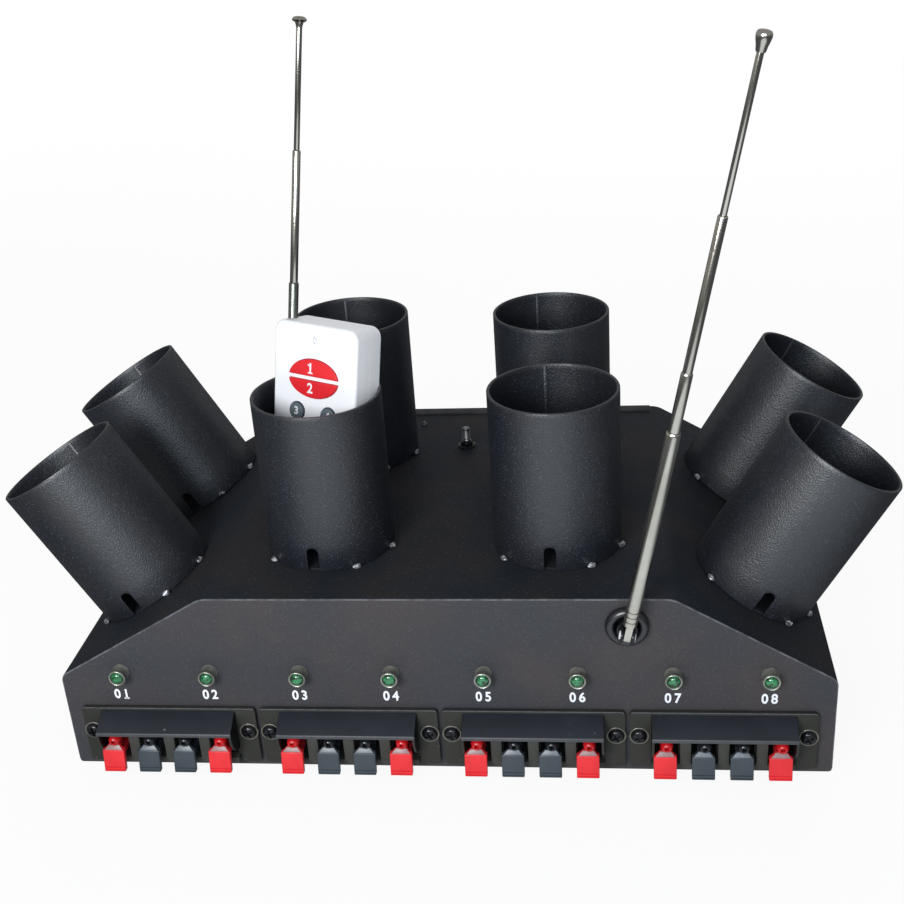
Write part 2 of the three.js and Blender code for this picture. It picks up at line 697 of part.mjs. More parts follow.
// Terminal blocks: plate, hood with its cheeks, sill, lever pockets and solder lugs
function terminalHood() {
  const root = BLOCK_HEIGHT - HOOD_DROP;
  const lip = root - HOOD_FALL;
  const roof = alongX(outline([
    [-BLOCK_FACE / 2, root],
    [-HOOD_REACH, lip],
    [-HOOD_REACH, lip - HOOD_SHEET],
    [-BLOCK_FACE / 2, root - HOOD_SHEET],
  ]), -HOOD_HALF, HOOD_HALF);
  const cheek = outline([
    [-BLOCK_FACE / 2, root],
    [-HOOD_REACH, lip],
    [-CHEEK_MID_REACH, CHEEK_MID_RISE],
    [-CHEEK_LOW_REACH, CHEEK_LOW_RISE],
    [-BLOCK_FACE / 2, CHEEK_FOOT_RISE],
  ]);
  const left = alongX(cheek, -HOOD_HALF, CHEEK_WALL - HOOD_HALF);
  const right = alongX(cheek, HOOD_HALF - CHEEK_WALL, HOOD_HALF);
  return join(roof, left, right);
}

function terminalScrew(side) {
  const head = outward([
    [0, 0],
    [SCREW_HEAD_RADIUS, 0],
    [SCREW_HEAD_RADIUS, SCREW_HEAD - SCREW_CROWN],
    [SCREW_HEAD_RADIUS - SCREW_CROWN, SCREW_HEAD],
    [0, SCREW_HEAD],
  ], COARSE_STEPS);
  const seat = CLEARANCE + BLOCK_PLATE / 2;
  return head.translate(side * (BLOCK_WIDTH / 2 - SCREW_INSET), -seat, SCREW_RISE);
}

function terminalBlock(index) {
  const plate = alongY(
    softened(rectangle(BLOCK_WIDTH, BLOCK_HEIGHT, 0, BLOCK_HEIGHT / 2), BLOCK_CORNER),
    -BLOCK_FACE,
    -CLEARANCE,
  );
  const sill = block(
    2 * HOOD_HALF, SILL_REACH - CLEARANCE, SILL_HEIGHT, 0, -(SILL_REACH + CLEARANCE) / 2, SILL_RISE);
  const body = alongY(
    outline(rectangle(2 * BODY_HALF, BODY_HEIGHT, 0, BODY_RISE + BODY_HEIGHT / 2)),
    -CLEARANCE - BLOCK_PLATE / 2,
    BODY_DEPTH,
  );
  const pockets = LEVER_PLACES.map((x) => alongY(
    outline(rectangle(LEVER_WIDTH + 2 * CLEARANCE, MOUTH_HEIGHT, x, MOUTH_RISE + MOUTH_HEIGHT / 2)),
    -BLOCK_FACE - OVERRUN,
    POCKET_DEPTH,
  ));
  const lugs = LEVER_PLACES.map((x) => block(
    LUG_WIDTH, LUG_LENGTH + SHEET, LUG_SHEET, x, BODY_DEPTH + (LUG_LENGTH - SHEET) / 2, PIVOT_RISE));
  const whole = join(
    cut(join(plate, sill, body), ...pockets), terminalHood(), ...lugs, terminalScrew(-1), terminalScrew(1));
  return piece(`terminal_block_${index}`, whole, BLACK_PLASTIC);
}

// Terminal levers: finger tab, tapered shoulder, wire snout and the neck that rocks in the pocket
function terminalLever(index, finish) {
  const grips = [1, 2].flatMap((row) => {
    const low = TAB_LOW + TAB_EDGE + row * GRIP_PITCH - GRIP_WIDTH;
    return [
      [-TAB_REACH, low + GRIP_WIDTH],
      [GRIP_DEPTH - TAB_REACH, low + GRIP_WIDTH / 2],
      [-TAB_REACH, low],
    ].reverse();
  });
  const tab = alongX(outline([
    [-TAB_BACK, TAB_LOW],
    [TAB_EDGE - TAB_REACH, TAB_LOW],
    [-TAB_REACH, TAB_LOW + TAB_EDGE],
    ...grips,
    [-TAB_REACH, TAB_TOP - TAB_EDGE],
    [TAB_EDGE - TAB_REACH, TAB_TOP],
    [-TAB_BACK, TAB_TOP],
  ]), -LEVER_WIDTH / 2, LEVER_WIDTH / 2);
  const shoulderWidth = 2 * SNOUT_RADIUS;
  const shoulder = alongY(outline([
    [-LEVER_WIDTH / 2, TAB_TOP - TAB_EDGE],
    [LEVER_WIDTH / 2, TAB_TOP - TAB_EDGE],
    [shoulderWidth / 2, SHOULDER_TOP],
    [-shoulderWidth / 2, SHOULDER_TOP],
  ]), -SHOULDER_REACH - SNOUT_RADIUS, -TAB_BACK);
  const web = block(
    shoulderWidth,
    SHOULDER_REACH - TAB_BACK,
    SNOUT_RISE - TAB_TOP,
    0,
    -(SHOULDER_REACH + TAB_BACK) / 2,
    TAB_TOP,
  );
  const neck = block(
    NECK_WIDTH,
    TAB_BACK + PIVOT_DEPTH + TAB_EDGE,
    NECK_HEIGHT,
    0,
    (PIVOT_DEPTH - TAB_BACK - TAB_EDGE) / 2,
    PIVOT_RISE - NECK_HEIGHT / 2,
  );
  const trunnion = rodX(PIVOT_RADIUS, -LEVER_WIDTH / 2, LEVER_WIDTH / 2, PIVOT_DEPTH, PIVOT_RISE, TINY_STEPS);
  const snout = rodY(SNOUT_RADIUS, -SNOUT_REACH, -SNOUT_BACK, 0, SNOUT_RISE, COARSE_STEPS);
  const bore = rodY(SNOUT_BORE, -SNOUT_REACH - OVERRUN, OVERRUN - SNOUT_BACK, 0, SNOUT_RISE, TINY_STEPS);
  return piece(`terminal_lever_${index}`, cut(join(tab, shoulder, web, neck, trunnion, snout), bore), finish);
}

function terminals() {
  const finishes = [RED_PLASTIC, GREY_PLASTIC, GREY_PLASTIC, RED_PLASTIC];
  return group(...BLOCK_PLACES.map((x, i) => {
    const levers = LEVER_PLACES.map((place, j) =>
      at(terminalLever(i * LEVER_COUNT + j + 1, finishes[j % finishes.length]), place, 0, 0));
    return at(group(terminalBlock(i + 1), ...levers), x, 0, BLOCK_RISE);
  }));
}

// Antenna: grommet in the panel, fork turning in it, and three telescopic sections
function antennaGrommet() {
  const inner = -SHEET - CLEARANCE;
  const grommet = outward([
    [GROMMET_BORE, inner - GROMMET_LIP],
    [GROMMET_NECK_RADIUS + GROMMET_EDGE, inner - GROMMET_LIP],
    [GROMMET_NECK_RADIUS + GROMMET_EDGE, inner],
    [GROMMET_NECK_RADIUS, inner],
    [GROMMET_NECK_RADIUS, CLEARANCE],
    [GROMMET_RADIUS, CLEARANCE],
    [GROMMET_RADIUS, GROMMET_PROUD - GROMMET_EDGE],
    [GROMMET_RADIUS - GROMMET_EDGE, GROMMET_PROUD],
    [GROMMET_BORE + GROMMET_EDGE, GROMMET_PROUD],
    [GROMMET_BORE, GROMMET_PROUD - GROMMET_EDGE],
    [GROMMET_BORE, inner - GROMMET_LIP],
  ], ROUND_STEPS);
  return at(piece("antenna_grommet", grommet, SOFT_RUBBER), ANTENNA_SIDE, 0, ANTENNA_RISE);
}

function antennaFork() {
  const earHalf = EYE_THICKNESS / 2 + SLIDE_GAP + EAR_SHEET;
  const gapHalf = EYE_THICKNESS / 2 + SLIDE_GAP;
  const ear = new THREE.Shape();
  ear.moveTo(EAR_ROOT + EAR_WEB, -EAR_RADIUS);
  ear.lineTo(0, -EAR_RADIUS);
  ear.absarc(0, 0, EAR_RADIUS, -Math.PI / 2, Math.PI / 2, true);
  ear.lineTo(EAR_ROOT + EAR_WEB, EAR_RADIUS);
  ear.closePath();
  const ears = cut(
    alongX(ear, -earHalf, earHalf, 5),
    block(2 * gapHalf, EAR_ROOT + EAR_RADIUS + OVERRUN, 2 * (EAR_RADIUS + OVERRUN), 0,
      (EAR_ROOT - EAR_RADIUS - OVERRUN) / 2, -EAR_RADIUS - OVERRUN),
  );
  const pin = rodX(PIN_RADIUS, -earHalf, earHalf, 0, 0, SMALL_STEPS);
  const headEnd = earHalf + PIN_HEAD;
  const heads = [
    rodX(PIN_HEAD_RADIUS, -headEnd, -gapHalf, 0, 0, SMALL_STEPS),
    rodX(PIN_HEAD_RADIUS, gapHalf, headEnd, 0, 0, SMALL_STEPS),
  ];
  const collarNear = ANTENNA_REACH + SHEET + 2 * CLEARANCE + GROMMET_LIP;
  const shank = rodY(SHANK_RADIUS, EAR_ROOT, collarNear + COLLAR, 0, 0);
  const collar = rodY(COLLAR_RADIUS, collarNear, collarNear + COLLAR, 0, 0);
  return piece("antenna_fork", join(ears, pin, ...heads, shank, collar), NICKEL);
}

function grooves() {
  return Array.from({ length: GROOVE_COUNT }, (_, i) => GROOVE_START + i * GROOVE_PITCH).flatMap((low) => [
    [ANTENNA_ROOT_RADIUS, low],
    [ANTENNA_ROOT_RADIUS - GROOVE_DEPTH, low + GROOVE_WIDTH / 2],
    [ANTENNA_ROOT_RADIUS, low + GROOVE_WIDTH],
  ]);
}

function antennaRoot() {
  const radius = ANTENNA_ROOT_RADIUS;
  const top = ANTENNA_ROOT_LENGTH;
  const bore = ANTENNA_MIDDLE_RADIUS + SLIDE_GAP;
  const tube = upright([
    [0, EYE_TOP],
    [radius, EYE_TOP],
    ...grooves(),
    [radius, top - ANTENNA_CRIMP],
    [radius - ANTENNA_CRIMP, top],
    [bore, top],
    [bore, ANTENNA_BORE_FLOOR],
    [0, ANTENNA_BORE_FLOOR],
  ], SMALL_STEPS);
  const eye = new THREE.Shape();
  eye.moveTo(radius, 0);
  eye.lineTo(radius, EYE_TOP + EYE_WEB);
  eye.lineTo(-radius, EYE_TOP + EYE_WEB);
  eye.lineTo(-radius, 0);
  eye.absarc(0, 0, radius, Math.PI, 2 * Math.PI, false);
  const blank = rodZ(radius, -radius, EYE_TOP + EYE_WEB, 0, 0, SMALL_STEPS);
  const tongue = solid(alongX(eye, -EYE_THICKNESS / 2, EYE_THICKNESS / 2, 5)).intersect(solid(blank));
  const hole = rodX(PIN_RADIUS + SLIDE_GAP, -EYE_THICKNESS, EYE_THICKNESS, 0, 0, SMALL_STEPS);
  return piece("antenna_section_1", join(cut(tongue, hole), tube), NICKEL);
}

function telescopeTube(name, radius, bore, low, top, finish) {
  const tube = upright([
    [0, low],
    [radius, low],
    [radius, top - ANTENNA_CRIMP],
    [radius - ANTENNA_CRIMP, top],
    [bore, top],
    [bore, low + ANTENNA_PLUG],
    [0, low + ANTENNA_PLUG],
  ], SMALL_STEPS);
  return piece(name, tube, finish);
}

function antennaTip() {
  const radius = ANTENNA_TIP_RADIUS;
  const low = ANTENNA_ROOT_LENGTH + ANTENNA_MIDDLE_LENGTH - ANTENNA_HOLD;
  const top = ANTENNA_TOP;
  const knob = top - KNOB_LENGTH;
  const rod = upright([
    [0, low],
    [radius, low],
    [radius, knob],
    [radius + KNOB_EDGE, knob],
    [KNOB_RADIUS - KNOB_EDGE, knob + KNOB_NECK],
    [KNOB_RADIUS, top - KNOB_NECK],
    [KNOB_RADIUS, top - KNOB_EDGE],
    [KNOB_RADIUS - KNOB_EDGE, top],
    [0, top],
  ], SMALL_STEPS);
  return piece("antenna_section_3", rod, NICKEL);
}

function antenna() {
  const middle = telescopeTube(
    "antenna_section_2",
    ANTENNA_MIDDLE_RADIUS,
    ANTENNA_TIP_RADIUS + SLIDE_GAP,
    ANTENNA_ROOT_LENGTH - ANTENNA_HOLD,
    ANTENNA_ROOT_LENGTH + ANTENNA_MIDDLE_LENGTH,
    NICKEL,
  );
  const mast = at(
    group(antennaFork(), antennaRoot(), middle, antennaTip()), ANTENNA_SIDE, -ANTENNA_REACH, ANTENNA_RISE);
  mast.rotation.y = ANTENNA_LEAN;
  return mast;
}

// Remote: drawn round the point where its middle line crosses the middle of the tube it stands in
function cushioned(inset, edge) {
  const shape = softened(
    rectangle(REMOTE_WIDTH - 2 * inset, REMOTE_LENGTH - 2 * inset, 0, (REMOTE_TOP - REMOTE_FOOT) / 2),
    REMOTE_CORNER - inset,
  );
  const thickness = REMOTE_THICKNESS - 2 * inset;
  const body = new THREE.ExtrudeGeometry(shape, {
    depth: thickness - 2 * edge,
    bevelThickness: edge,
    bevelSize: edge,
    bevelOffset: -edge,
    bevelSegments: 2,
    curveSegments: 3,
  });
  return body.rotateX(Math.PI / 2).translate(0, thickness / 2 - edge, 0);
}

function halfOval(side, grow) {
  const tall = OVAL_HALF_HEIGHT + grow;
  const start = Math.asin((OVAL_BAR / 2 - grow) / tall);
  const turn = side > 0 ? 0 : Math.PI;
  const shape = new THREE.Shape();
  shape.absellipse(
    0, REMOTE_TOP - OVAL_DROP, OVAL_HALF_WIDTH + grow, tall, turn + start, turn + Math.PI - start, false, 0);
  shape.closePath();
  return shape;
}

function roundKey(side, grow) {
  const shape = new THREE.Shape();
  shape.absarc(side * KEY_SIDE, REMOTE_TOP - KEY_DROP, KEY_RADIUS + grow, 0, 2 * Math.PI, false);
  return shape;
}

const BUTTON_OUTLINES = [
  (grow) => halfOval(1, grow),
  (grow) => halfOval(-1, grow),
  (grow) => roundKey(-1, grow),
  (grow) => roundKey(1, grow),
];

function remoteButton(index, shapeOf, finish) {
  const near = REMOTE_FACE + REMOTE_WALL + BUTTON_GAP;
  const cap = alongY(shapeOf(0), REMOTE_FACE - BUTTON_PROUD, near + BUTTON_FLANGE_SHEET / 2, KEY_CURVE);
  const flange = alongY(shapeOf(BUTTON_FLANGE), near, near + BUTTON_FLANGE_SHEET, KEY_CURVE);
  return piece(`remote_button_${index}`, join(cap, flange), finish);
}

function remoteHalf(name, side) {
  const span = REMOTE_LENGTH + REMOTE_THICKNESS;
  const parting = CLEARANCE / 2;
  const away = block(2 * span, span, 2 * span, 0, -side * (span / 2 - parting), -span);
  const antennaHole = rodZ(
    STUB_RADIUS + CLEARANCE,
    REMOTE_TOP - REMOTE_WALL - OVERRUN,
    REMOTE_TOP + OVERRUN,
    REMOTE_ANTENNA_SIDE,
    REMOTE_ANTENNA_DEPTH,
    SMALL_STEPS,
  );
  const front = REMOTE_FACE - OVERRUN;
  const behind = REMOTE_FACE + REMOTE_WALL + OVERRUN;
  const faceCuts = side > 0 ? [] : [
    ...BUTTON_OUTLINES.map((shapeOf) =>
      alongY(shapeOf(BUTTON_GAP), front, behind, KEY_CURVE)),
    rodY(PILOT_RADIUS, front, behind, 0, REMOTE_TOP - PILOT_DROP, TINY_STEPS),
  ];
  const hollow = cushioned(REMOTE_WALL, REMOTE_EDGE - REMOTE_WALL);
  const shell = cut(cushioned(0, REMOTE_EDGE), hollow, away, antennaHole, ...faceCuts);
  return piece(name, shell, WHITE_PLASTIC);
}

function remoteAntenna() {
  const joint = STUB_LENGTH + WAND_LENGTH;
  const tip = joint + WAND_TIP_LENGTH;
  const rod = upright([
    [0, joint - REMOTE_ANTENNA_HOLD],
    [WAND_TIP_RADIUS, joint - REMOTE_ANTENNA_HOLD],
    [WAND_TIP_RADIUS, tip - CAP_HEIGHT],
    [CAP_RADIUS, tip - CAP_HEIGHT + CAP_CROWN],
    [CAP_RADIUS, tip - CAP_CROWN],
    [CAP_RADIUS - CAP_CROWN, tip],
    [0, tip],
  ], SMALL_STEPS);
  const sections = group(
    telescopeTube(
      "remote_antenna_section_1",
      STUB_RADIUS,
      WAND_RADIUS + SLIDE_GAP,
      -REMOTE_ANTENNA_SUNK,
      STUB_LENGTH,
      NICKEL,
    ),
    telescopeTube(
      "remote_antenna_section_2",
      WAND_RADIUS,
      WAND_TIP_RADIUS + SLIDE_GAP,
      STUB_LENGTH - REMOTE_ANTENNA_HOLD,
      joint,
      NICKEL,
    ),
    piece("remote_antenna_section_3", rod, NICKEL),
  );
  return at(sections, REMOTE_ANTENNA_SIDE, REMOTE_ANTENNA_DEPTH, REMOTE_TOP);
}

function remote() {
  const finishes = [RED_PLASTIC, RED_PLASTIC, KEY_GREY, KEY_GREY];
  const leaning = group(
    remoteHalf("remote_front_shell", -1),
    remoteHalf("remote_back_shell", 1),
    ...BUTTON_OUTLINES.map((shapeOf, i) => remoteButton(i + 1, shapeOf, finishes[i])),
    remoteAntenna(),
  );
  leaning.rotation.x = -REMOTE_LEAN;
  const middle = DECK_HEIGHT + CLEARANCE + TUBE_HEIGHT / 2;
  const turned = at(group(leaning), -FRONT_PAIR_HALF, FRONT_ROW, middle);
  turned.rotation.z = REMOTE_TURN;
  return turned;
}

// Power switch: drawn facing out of the back panel, then turned round
function powerSwitch() {
  const bezel = softened(rectangle(SWITCH_WIDTH, SWITCH_HEIGHT), SWITCH_WALL);
  const body = rectangle(SWITCH_BODY_WIDTH, SWITCH_BODY_HEIGHT);
  const well = rectangle(SWITCH_BODY_WIDTH - 2 * SWITCH_WALL, SWITCH_BODY_HEIGHT - 2 * SWITCH_WALL);
  const frame = join(
    alongY(bezel, -CLEARANCE - SWITCH_BEZEL, -CLEARANCE),
    alongY(outline(body), -CLEARANCE - SWITCH_BEZEL / 2, SWITCH_BODY_DEPTH),
  );
  const housing = cut(frame, alongY(outline(well), -SWITCH_BEZEL - OVERRUN, ROCKER_KEEL + ROCKER_DROP));
  const rockerHalf = SWITCH_BODY_WIDTH / 2 - SWITCH_WALL - CLEARANCE;
  const rocker = alongX(outline([
    [-ROCKER_TIP, -ROCKER_HALF],
    [ROCKER_HEEL, ROCKER_TAPER - ROCKER_HALF],
    [ROCKER_KEEL, 0],
    [ROCKER_HEEL, ROCKER_HALF - ROCKER_TAPER],
    [-ROCKER_TIP, ROCKER_HALF],
    [-ROCKER_DIP, 0],
  ]), -rockerHalf, rockerHalf);
  const rockerPiece = piece("power_rocker", rocker, BLACK_PLASTIC);
  rockerPiece.rotation.x = ROCKER_TILT;
  const made = at(
    group(piece("power_switch_body", housing, BLACK_PLASTIC), rockerPiece),
    SWITCH_SIDE,
    HOUSING_DEPTH,
    SWITCH_RISE,
  );
  made.rotation.z = Math.PI;
  return made;
}

// Battery pack and receiver board on the base plate
function batteryPack() {
  const low = SHEET + CLEARANCE;
  const shape = softened(rectangle(BATTERY_WIDTH, BATTERY_DEPTH), BATTERY_EDGE);
  const tabs = [-1, 1].map((side) => block(
    SHEET, BATTERY_TAB, BATTERY_TAB_HEIGHT + SHEET, side * (BATTERY_WIDTH / 2 - BATTERY_TAB_INSET),
    BATTERY_DEPTH / 4, low + BATTERY_HEIGHT - SHEET));
  const pack = join(alongZ(shape, low, low + BATTERY_HEIGHT), ...tabs);
  return at(piece("battery_pack", pack, BATTERY_CASE), BATTERY_SIDE, BATTERY_BACK, 0);
}

function receiverBoard() {
  const low = SHEET + POST_HEIGHT + CLEARANCE;
  const top = low + BOARD_SHEET;
  const relays = row(RELAY_COUNT, RELAY_WIDTH + RELAY_GAP).map((x) => block(
    RELAY_WIDTH, RELAY_DEPTH, RELAY_HEIGHT + BOARD_SHEET, x, RELAY_DEPTH - BOARD_DEPTH / 2, low));
  const chip = block(CHIP_WIDTH, CHIP_DEPTH, CHIP_HEIGHT + BOARD_SHEET, -CHIP_WIDTH / 2, CHIP_DEPTH, low);
  const radio = block(
    RADIO_WIDTH, RADIO_DEPTH, RADIO_HEIGHT + BOARD_SHEET, RADIO_SIDE, RADIO_DEPTH / 2, low);
  const sheet = alongZ(outline(rectangle(BOARD_WIDTH, BOARD_DEPTH)), low, top);
  const board = piece("receiver_board", join(sheet, ...relays, chip, radio), BOARD_GREEN);
  return at(board, BOARD_SIDE, BOARD_BACK, 0);
}

// Whole object, with its origin on the floor below the middle of its box
const housing = at(
  group(
    housingShell(),
    basePlate(),
    effectTubes(),
    ...LAMP_PLACES.map((x, i) => cueLamp(i + 1, x)),
    terminals(),
    antennaGrommet(),
    antenna(),
    remote(),
    powerSwitch(),
    batteryPack(),
    receiverBoard(),
  ),
  0,
  0,
  FOOT_HEIGHT,
);
const feet = group(...footPlaces().map((place, i) => rubberFoot(i + 1, place)));
const launcher = at(group(housing, feet), 0, -MIDDLE, 0);

export default launcher;
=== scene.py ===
"""Looks of an eight-cue launcher base for spark cartridges, with its remote parked in one tube.

Sizes are in millimetres in the part's own frame: +Z is up, the front panel faces -Y, and the
floor is at zero.
"""

import json
import logging
import math
from collections.abc import Callable, Iterable, Iterator, Sequence
from contextlib import contextmanager
from dataclasses import dataclass
from enum import Enum

import bmesh
import bpy
from mathutils import Matrix, Vector

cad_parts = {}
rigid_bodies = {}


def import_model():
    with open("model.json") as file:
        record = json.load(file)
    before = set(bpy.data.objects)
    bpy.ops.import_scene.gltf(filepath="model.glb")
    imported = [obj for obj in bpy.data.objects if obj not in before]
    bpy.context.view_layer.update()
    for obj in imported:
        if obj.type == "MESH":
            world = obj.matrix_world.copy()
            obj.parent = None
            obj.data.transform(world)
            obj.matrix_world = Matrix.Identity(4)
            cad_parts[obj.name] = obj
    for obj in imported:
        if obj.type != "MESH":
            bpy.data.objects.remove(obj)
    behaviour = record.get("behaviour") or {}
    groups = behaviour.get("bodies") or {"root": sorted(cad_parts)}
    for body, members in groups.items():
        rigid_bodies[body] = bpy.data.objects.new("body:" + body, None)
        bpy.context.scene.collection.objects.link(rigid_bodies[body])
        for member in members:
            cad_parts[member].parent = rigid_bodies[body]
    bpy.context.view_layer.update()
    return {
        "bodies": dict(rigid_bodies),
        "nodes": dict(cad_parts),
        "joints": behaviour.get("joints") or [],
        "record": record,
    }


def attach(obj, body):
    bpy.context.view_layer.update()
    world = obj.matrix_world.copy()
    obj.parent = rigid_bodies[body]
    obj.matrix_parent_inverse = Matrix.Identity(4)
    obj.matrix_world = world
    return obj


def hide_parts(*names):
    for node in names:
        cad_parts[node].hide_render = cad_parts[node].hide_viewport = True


LOG = logging.getLogger("launcher")
MM = 0.001

# Corners nearer to each other than this are one corner
MERGE_WITHIN = MM / 500

# Faces of the housing that other assemblies sit on
FRONT = -87.899
BACK = 96.101
DECK = 84.3
SLOPE = 30.0

# Point of the object that every lamp faces
LAMP_TARGET = (0, 0, 70)

Piece = bpy.types.Object
Socket = bpy.types.NodeSocket
Triple = tuple[float, float, float]
Pair = tuple[float, float]
Profile = tuple[Pair, ...]
FaceTest = Callable[[Vector, Vector], bool]
EdgeTest = Callable[[Vector, Vector, list[Vector]], bool]


class Slot(Enum):
    """Material slots of the record, one listed for each finished piece."""

    BLACK_COAT = "black_coat"
    TUBE_COAT = "tube_coat"
    BLACK_PLASTIC = "black_plastic"
    GREY_PLASTIC = "grey_plastic"
    RED_PLASTIC = "red_plastic"
    WHITE_PLASTIC = "white_plastic"
    KEY_GREY = "key_grey"
    LAMP_GREEN = "lamp_green"
    SOFT_RUBBER = "soft_rubber"
    NICKEL = "nickel"
    ZINC = "zinc"


def metres(values: Sequence[float]) -> Vector:
    """Gives a point or vector in metres."""
    return Vector(values) * MM


def moved(values: Sequence[float]) -> Matrix:
    """Gives the shift by a vector in millimetres."""
    return Matrix.Translation(metres(values))


def turned_by(degrees: float, axis: str) -> Matrix:
    """Gives the turn about one of the axes."""
    return Matrix.Rotation(math.radians(degrees), 4, axis)


def row(count: int, pitch: float) -> list[float]:
    """Gives places that stand evenly on both sides of zero."""
    return [(i - (count - 1) / 2) * pitch for i in range(count)]


# Drawn lying on its back, a piece with this turn faces out of the front panel
OUTWARD = turned_by(90, "X")


def outward(x: float, y: float, z: float) -> Matrix:
    """Gives the stand of a piece drawn lying on its back that faces out of the front panel."""
    return moved((x, y, z)) @ OUTWARD


class Bench:
    """The modelling bench: primitives, picks in edit mode, and modifiers that are applied."""

    PRINT_DEPTH = 0.04

    @staticmethod
    def clear() -> None:
        """Deselects every object."""
        bpy.ops.object.select_all(action="DESELECT")

    @staticmethod
    def take(piece: Piece) -> None:
        """Makes a piece the one selected and active object."""
        Bench.clear()
        piece.select_set(True)
        bpy.context.view_layer.objects.active = piece

    @staticmethod
    def started(name: str) -> Piece:
        """Names the primitive just added, and settles its place into its mesh.

        Args:
            name: Name of the piece.

        Returns:
            The piece, at the origin and unscaled.
        """
        piece = bpy.context.active_object
        piece.name = name
        piece.data.name = name
        Bench.take(piece)
        bpy.ops.object.transform_apply(location=True, rotation=True, scale=True)
        return piece

    @staticmethod
    def cube(name: str, size: Triple, centre: Triple) -> Piece:
        """Adds a cube primitive of a width, depth and height about its centre."""
        bpy.ops.mesh.primitive_cube_add(size=1, location=metres(centre), scale=metres(size))
        return Bench.started(name)

    @staticmethod
    def disc(name: str, radius: float, sides: int, low: float = 0, filled: bool = True) -> Piece:
        """Adds a circle primitive, flat on the XY plane.

        Args:
            name: Name of the piece.
            radius: Its radius.
            sides: Number of sides.
            low: Its height.
            filled: Whether it has a face.

        Returns:
            The piece.
        """
        bpy.ops.mesh.primitive_circle_add(
            vertices=sides,
            radius=radius * MM,
            fill_type="NGON" if filled else "NOTHING",
            location=metres((0, 0, low)),
        )
        return Bench.started(name)

    @staticmethod
    @contextmanager
    def editing(piece: Piece) -> Iterator[None]:
        """Opens a piece in edit mode with nothing selected.

        Args:
            piece: The piece.

        Yields:
            Nothing, while edit mode lasts.
        """
        Bench.take(piece)
        bpy.ops.object.mode_set(mode="EDIT")
        bpy.context.tool_settings.mesh_select_mode = (True, False, False)
        bpy.ops.mesh.select_all(action="DESELECT")
        try:
            yield
        finally:
            bpy.ops.object.mode_set(mode="OBJECT")

    @staticmethod
    def pick_all() -> None:
        """Selects the whole mesh in edit mode."""
        bpy.ops.mesh.select_all(action="SELECT")

    @staticmethod
    def unpicked(piece: Piece, *mode: bool) -> bmesh.types.BMesh:
        """Gives the mesh of a piece in edit mode, with nothing selected.

        Args:
            piece: The piece in edit mode.
            mode: Whether corners, edges and faces are to be selected.

        Returns:
            The mesh.
        """
        bpy.context.tool_settings.mesh_select_mode = mode
        bpy.ops.mesh.select_all(action="DESELECT")
        mesh = bmesh.from_edit_mesh(piece.data)
        mesh.normal_update()
        return mesh

    @staticmethod
    def pick_faces(piece: Piece, wanted: FaceTest) -> None:
        """Selects faces by their middle, in millimetres, and their normal.

        Args:
            piece: The piece in edit mode.
            wanted: Says whether a face is picked.
        """
        mesh = Bench.unpicked(piece, False, False, True)
        for face in [f for f in mesh.faces if wanted(f.calc_center_median() / MM, f.normal)]:
            face.select_set(True)
        bmesh.update_edit_mesh(piece.data)

    @staticmethod
    def pick_edges(piece: Piece, wanted: EdgeTest) -> None:
        """Selects edges by their ends, in millimetres, and the normals of their faces.

        Args:
            piece: The piece in edit mode.
            wanted: Says whether an edge is picked.
        """
        mesh = Bench.unpicked(piece, False, True, False)
        picked = []
        for edge in mesh.edges:
            first, second = (corner.co / MM for corner in edge.verts)
            if wanted(first, second, [f.normal for f in edge.link_faces]):
                picked.append(edge)
        for edge in picked:
            edge.select_set(True)
        bmesh.update_edit_mesh(piece.data)

    @staticmethod
    def round_edges(
        piece: Piece, width: float, segments: int, wanted: EdgeTest, **more: object
    ) -> None:
        """Rounds chosen edges of a piece in edit mode, with a number of faces across."""
        Bench.pick_edges(piece, wanted)
        bpy.ops.mesh.bevel(offset=width * MM, segments=segments, affect="EDGES", **more)

    @staticmethod
    def extrude(shift: Triple) -> None:
        """Extrudes what is selected by a shift."""
        bpy.ops.mesh.extrude_region_move(TRANSFORM_OT_translate={"value": metres(shift)})

    @staticmethod
    def resize(factors: Triple, about: Triple) -> None:
        """Scales what is selected about a point."""
        bpy.ops.transform.resize(value=factors, center_override=metres(about))

    @staticmethod
    def keep_side(away: Triple, distance: float) -> None:
        """Cuts what is selected square to a way out from the middle, and keeps what is farther."""
        plane = metres(tuple(distance * share for share in away))
        bpy.ops.mesh.bisect(plane_co=plane, plane_no=away, clear_inner=True)

    @staticmethod
    def tidy(piece: Piece) -> None:
        """Merges doubled corners and turns every face outwards."""
        with Bench.editing(piece):
            Bench.pick_all()
            bpy.ops.mesh.remove_doubles(threshold=MERGE_WITHIN)
            bpy.ops.mesh.normals_make_consistent(inside=False)

    @staticmethod
    def turned(name: str, profile: Sequence[Pair], sides: int, ring: bool = False) -> Piece:
        """Draws a round piece up from a circle, point by point of its profile.

        Args:
            name: Name of the piece.
            profile: Radius and height of each point, the first one lowest on the outside.
            sides: Number of sides.
            ring: Whether the piece has a through bore, so that its last point meets its first.

        Returns:
            The closed piece.
        """
        (radius, low), *rest = profile
        piece = Bench.disc(name, radius, sides, low, filled=not ring)
        with Bench.editing(piece):
            Bench.pick_all()
            for next_radius, height in [*rest, profile[0]] if ring else rest:
                Bench.extrude((0, 0, height - low))
                share = next_radius / radius if radius else 1
                Bench.resize((share, share, 1), (0, 0, height))
                radius, low = next_radius, height
        Bench.tidy(piece)
        return piece

    @staticmethod
    def rod(name: str, radius: float, low: float, high: float, sides: int) -> Piece:
        """Draws an upright rod between two heights."""
        return Bench.turned(name, [(radius, low), (radius, high)], sides)

